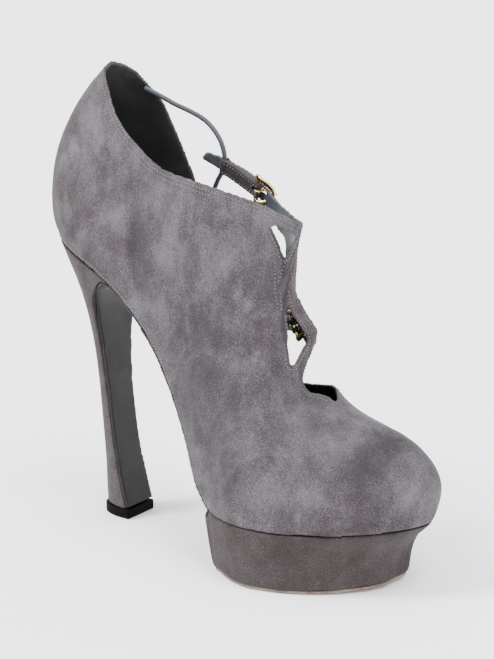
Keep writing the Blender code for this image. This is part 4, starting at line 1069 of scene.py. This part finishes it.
def make_buckle(row):
    """A domed ring with its bar, and a hooked prong over its front."""
    name = row["name"]
    spot, along, across, outward = (np.array(row[key]) for key in ("spot", "along", "across", "outward"))
    turns = np.linspace(0, 2 * math.pi, 96, endpoint=False)[:, None]
    rise = RING_RISE * np.cos(turns) ** 2
    path = spot + BUCKLE_RADIUS * (along * np.cos(turns) + across * np.sin(turns)) + outward * rise
    ring_points, ring_faces = tube_round(path, RING_WIDE, RING_TALL, 16, outward, True)
    bar = [spot + across * BUCKLE_RADIUS * share for share in np.linspace(-0.97, 0.97, 9)]
    bar_points, bar_faces = tube_round(bar, BAR_RADIUS, BAR_RADIUS, 12, outward, False)
    ring = object_from(
        "buckle_" + name + "_dressed", np.vstack([ring_points, bar_points]),
        np.vstack([ring_faces, bar_faces + len(ring_points)]))
    wears(ring, "gold")
    stands_for(ring, "buckle_" + name)
    hook = BAR_RADIUS + PRONG_RADIUS + HOOK_GAP
    turns = np.radians(PRONG_HOOK)
    route = [spot + along * hook * math.cos(turn) + outward * hook * math.sin(turn) for turn in turns]
    rest = RING_RISE + RING_TALL + PRONG_RADIUS + REST_GAP
    for step in table_rows(PRONG_WAY):
        route.append(spot - along * step["run"] + outward * rest * step["share"])
    route = curve_through(route, 5)
    size = PRONG_RADIUS * np.interp(np.linspace(0, 1, len(route)), [0, 0.9, 1], [1.25, 1.0, 0.4])
    tube = tube_round(route, size, size, 12, outward, False)
    prong = object_from("prong_" + name + "_dressed", *tube)
    wears(prong, "gold")
    stands_for(prong, "prong_" + name)


CORD_RADIUS = 0.0012
CORD_ROUTE = [
    (-0.0670, 0.0203, 0.2120), (-0.0596, 0.0226, 0.2087), (-0.0525, 0.0247, 0.2051),
    (-0.0447, 0.0267, 0.2020), (-0.0372, 0.0285, 0.1982), (-0.0306, 0.0286, 0.1927),
    (-0.0259, 0.0281, 0.1856), (-0.0253, 0.0284, 0.1772), (-0.0300, 0.0294, 0.1700),
    (-0.0340, 0.0302, 0.1625), (-0.0380, 0.0303, 0.1548), (-0.0426, 0.0298, 0.1476),
]


def curve_through(spots, steps):
    """Even points on a smooth curve through the spots."""
    spots = np.array(spots)
    padded = np.vstack([2 * spots[0] - spots[1], spots, 2 * spots[-1] - spots[-2]])
    path = []
    for k in range(1, len(padded) - 2):
        a, b, c, d = padded[k - 1:k + 3]
        square, cube = 2 * a - 5 * b + 4 * c - d, 3 * b - a - 3 * c + d
        for t in np.linspace(0, 1, steps, endpoint=False):
            path.append(0.5 * (2 * b + (c - a) * t + square * t**2 + cube * t**3))
    path.append(spots[-1])
    return np.array(path)


def make_cord():
    """The round leather cord from the counter, through the fold of the buckle piece, to the topline."""
    path = curve_through(CORD_ROUTE, 3)
    curve = bpy.data.curves.new("cord_dressed", "CURVE")
    curve.dimensions = "3D"
    curve.bevel_depth = CORD_RADIUS
    curve.bevel_resolution = 6
    curve.use_fill_caps = True
    line = curve.splines.new("POLY")
    line.points.add(len(path) - 1)
    for point, spot in zip(line.points, path):
        point.co = (*spot, 1)
    made = new_object("cord_dressed", curve)
    wears(made, "cord")
    stands_for(made, "cord")


def make_buckle_piece():
    """The piece that holds the top buckle, with stitches along both of its faces."""
    obj = dressed("buckle_piece", "piece_suede", "piece", 0.00045, 2)
    points, faces = solid_of("buckle_piece")
    chains = sharp_lines(points, faces, 45.0) + sharp_lines(points, faces, 45.0, -1)
    stitch_rows(
        "piece_stitches", chains, tree_of(obj.data), PIECE_STITCH_IN, PIECE_STITCH_GAP)


# Stage


def make_camera():
    """The camera that takes the photograph's view."""
    turn, rise, roll = (math.radians(v) for v in (CAMERA_TURN, CAMERA_RISE, CAMERA_ROLL))
    back = Vector((math.sin(turn) * math.cos(rise), -math.cos(turn) * math.cos(rise), math.sin(rise)))
    right = Vector((math.cos(turn), math.sin(turn), 0))
    up = back.cross(right)
    right, up = right * math.cos(roll) + up * math.sin(roll), up * math.cos(roll) - right * math.sin(roll)
    data = bpy.data.cameras.new("camera")
    data.sensor_fit = "HORIZONTAL"
    data.sensor_width = SENSOR
    data.lens = FOCAL_SHARE * SENSOR
    data.clip_start, data.clip_end = CLIP_NEAR, CLIP_FAR
    camera = new_object("camera", data)
    place = CAMERA_AIM + back * CAMERA_FAR
    rows = [(right[k], up[k], back[k], place[k]) for k in range(3)] + [(0, 0, 0, 1)]
    camera.matrix_world = Matrix(rows)
    bpy.context.scene.camera = camera


def make_light(name, kind, energy, place, size):
    """A lamp that looks at the shoe: a sun of an angular size, or a panel of two lengths."""
    data = bpy.data.lights.new(name, kind)
    data.energy = energy
    if kind == "AREA":
        data.shape = "RECTANGLE"
        data.size, data.size_y = size
    else:
        data.angle = size
    lamp = new_object(name, data)
    lamp.location = place
    lamp.rotation_euler = (Vector(place) - Vector(LIGHT_AIM)).to_track_quat("Z", "Y").to_euler()


FLOOR_REACH = 15.0
WORLD_LIGHT, LEFT_SUN, RIGHT_SUN, PANEL, FLOOR_GLOW = 2.0, 3.6, 2.8, 9.0, 0.06
LIGHT_AIM = (0.0, 0.0, 0.10)


def make_stage():
    """A plain pale floor under wide, soft light."""
    edge = FLOOR_REACH
    spots = np.array([(-edge, -edge, 0), (edge, -edge, 0), (edge, edge, 0), (-edge, edge, 0)], float)
    floor = object_from("floor", spots, np.array([(0, 1, 2, 3)]))
    made, _, shader = new_material("pale_floor")
    shader.inputs["Base Color"].default_value = (0.93, 0.93, 0.93, 1)
    shader.inputs["Roughness"].default_value = 0.9
    shader.inputs["Specular IOR Level"].default_value = 0.0
    shader.inputs["Emission Color"].default_value = (1, 1, 1, 1)
    shader.inputs["Emission Strength"].default_value = FLOOR_GLOW
    floor.data.materials.append(made)
    world = bpy.data.worlds.new("studio")
    bpy.context.scene.world = world
    world.use_nodes = True
    sky = world.node_tree.nodes["Background"]
    sky.inputs["Color"].default_value = (1, 1, 1, 1)
    sky.inputs["Strength"].default_value = WORLD_LIGHT
    make_light("left_soft_sun", "SUN", LEFT_SUN, (-0.9, -1.0, 1.9), math.radians(16))
    make_light("right_soft_sun", "SUN", RIGHT_SUN, (0.75, -0.2, 1.9), math.radians(30))
    make_light("left_panel", "AREA", PANEL, (-1.3, -0.9, 0.9), (0.9, 1.2))


def main():
    """Builds the whole scene."""
    make_camera()
    make_cord()
    make_upper()
    for piece in table_rows(PIECES):
        dressed(**piece)
    make_buckle_piece()
    for row in table_rows(BUCKLES):
        make_buckle(row)
    make_stage()


main()
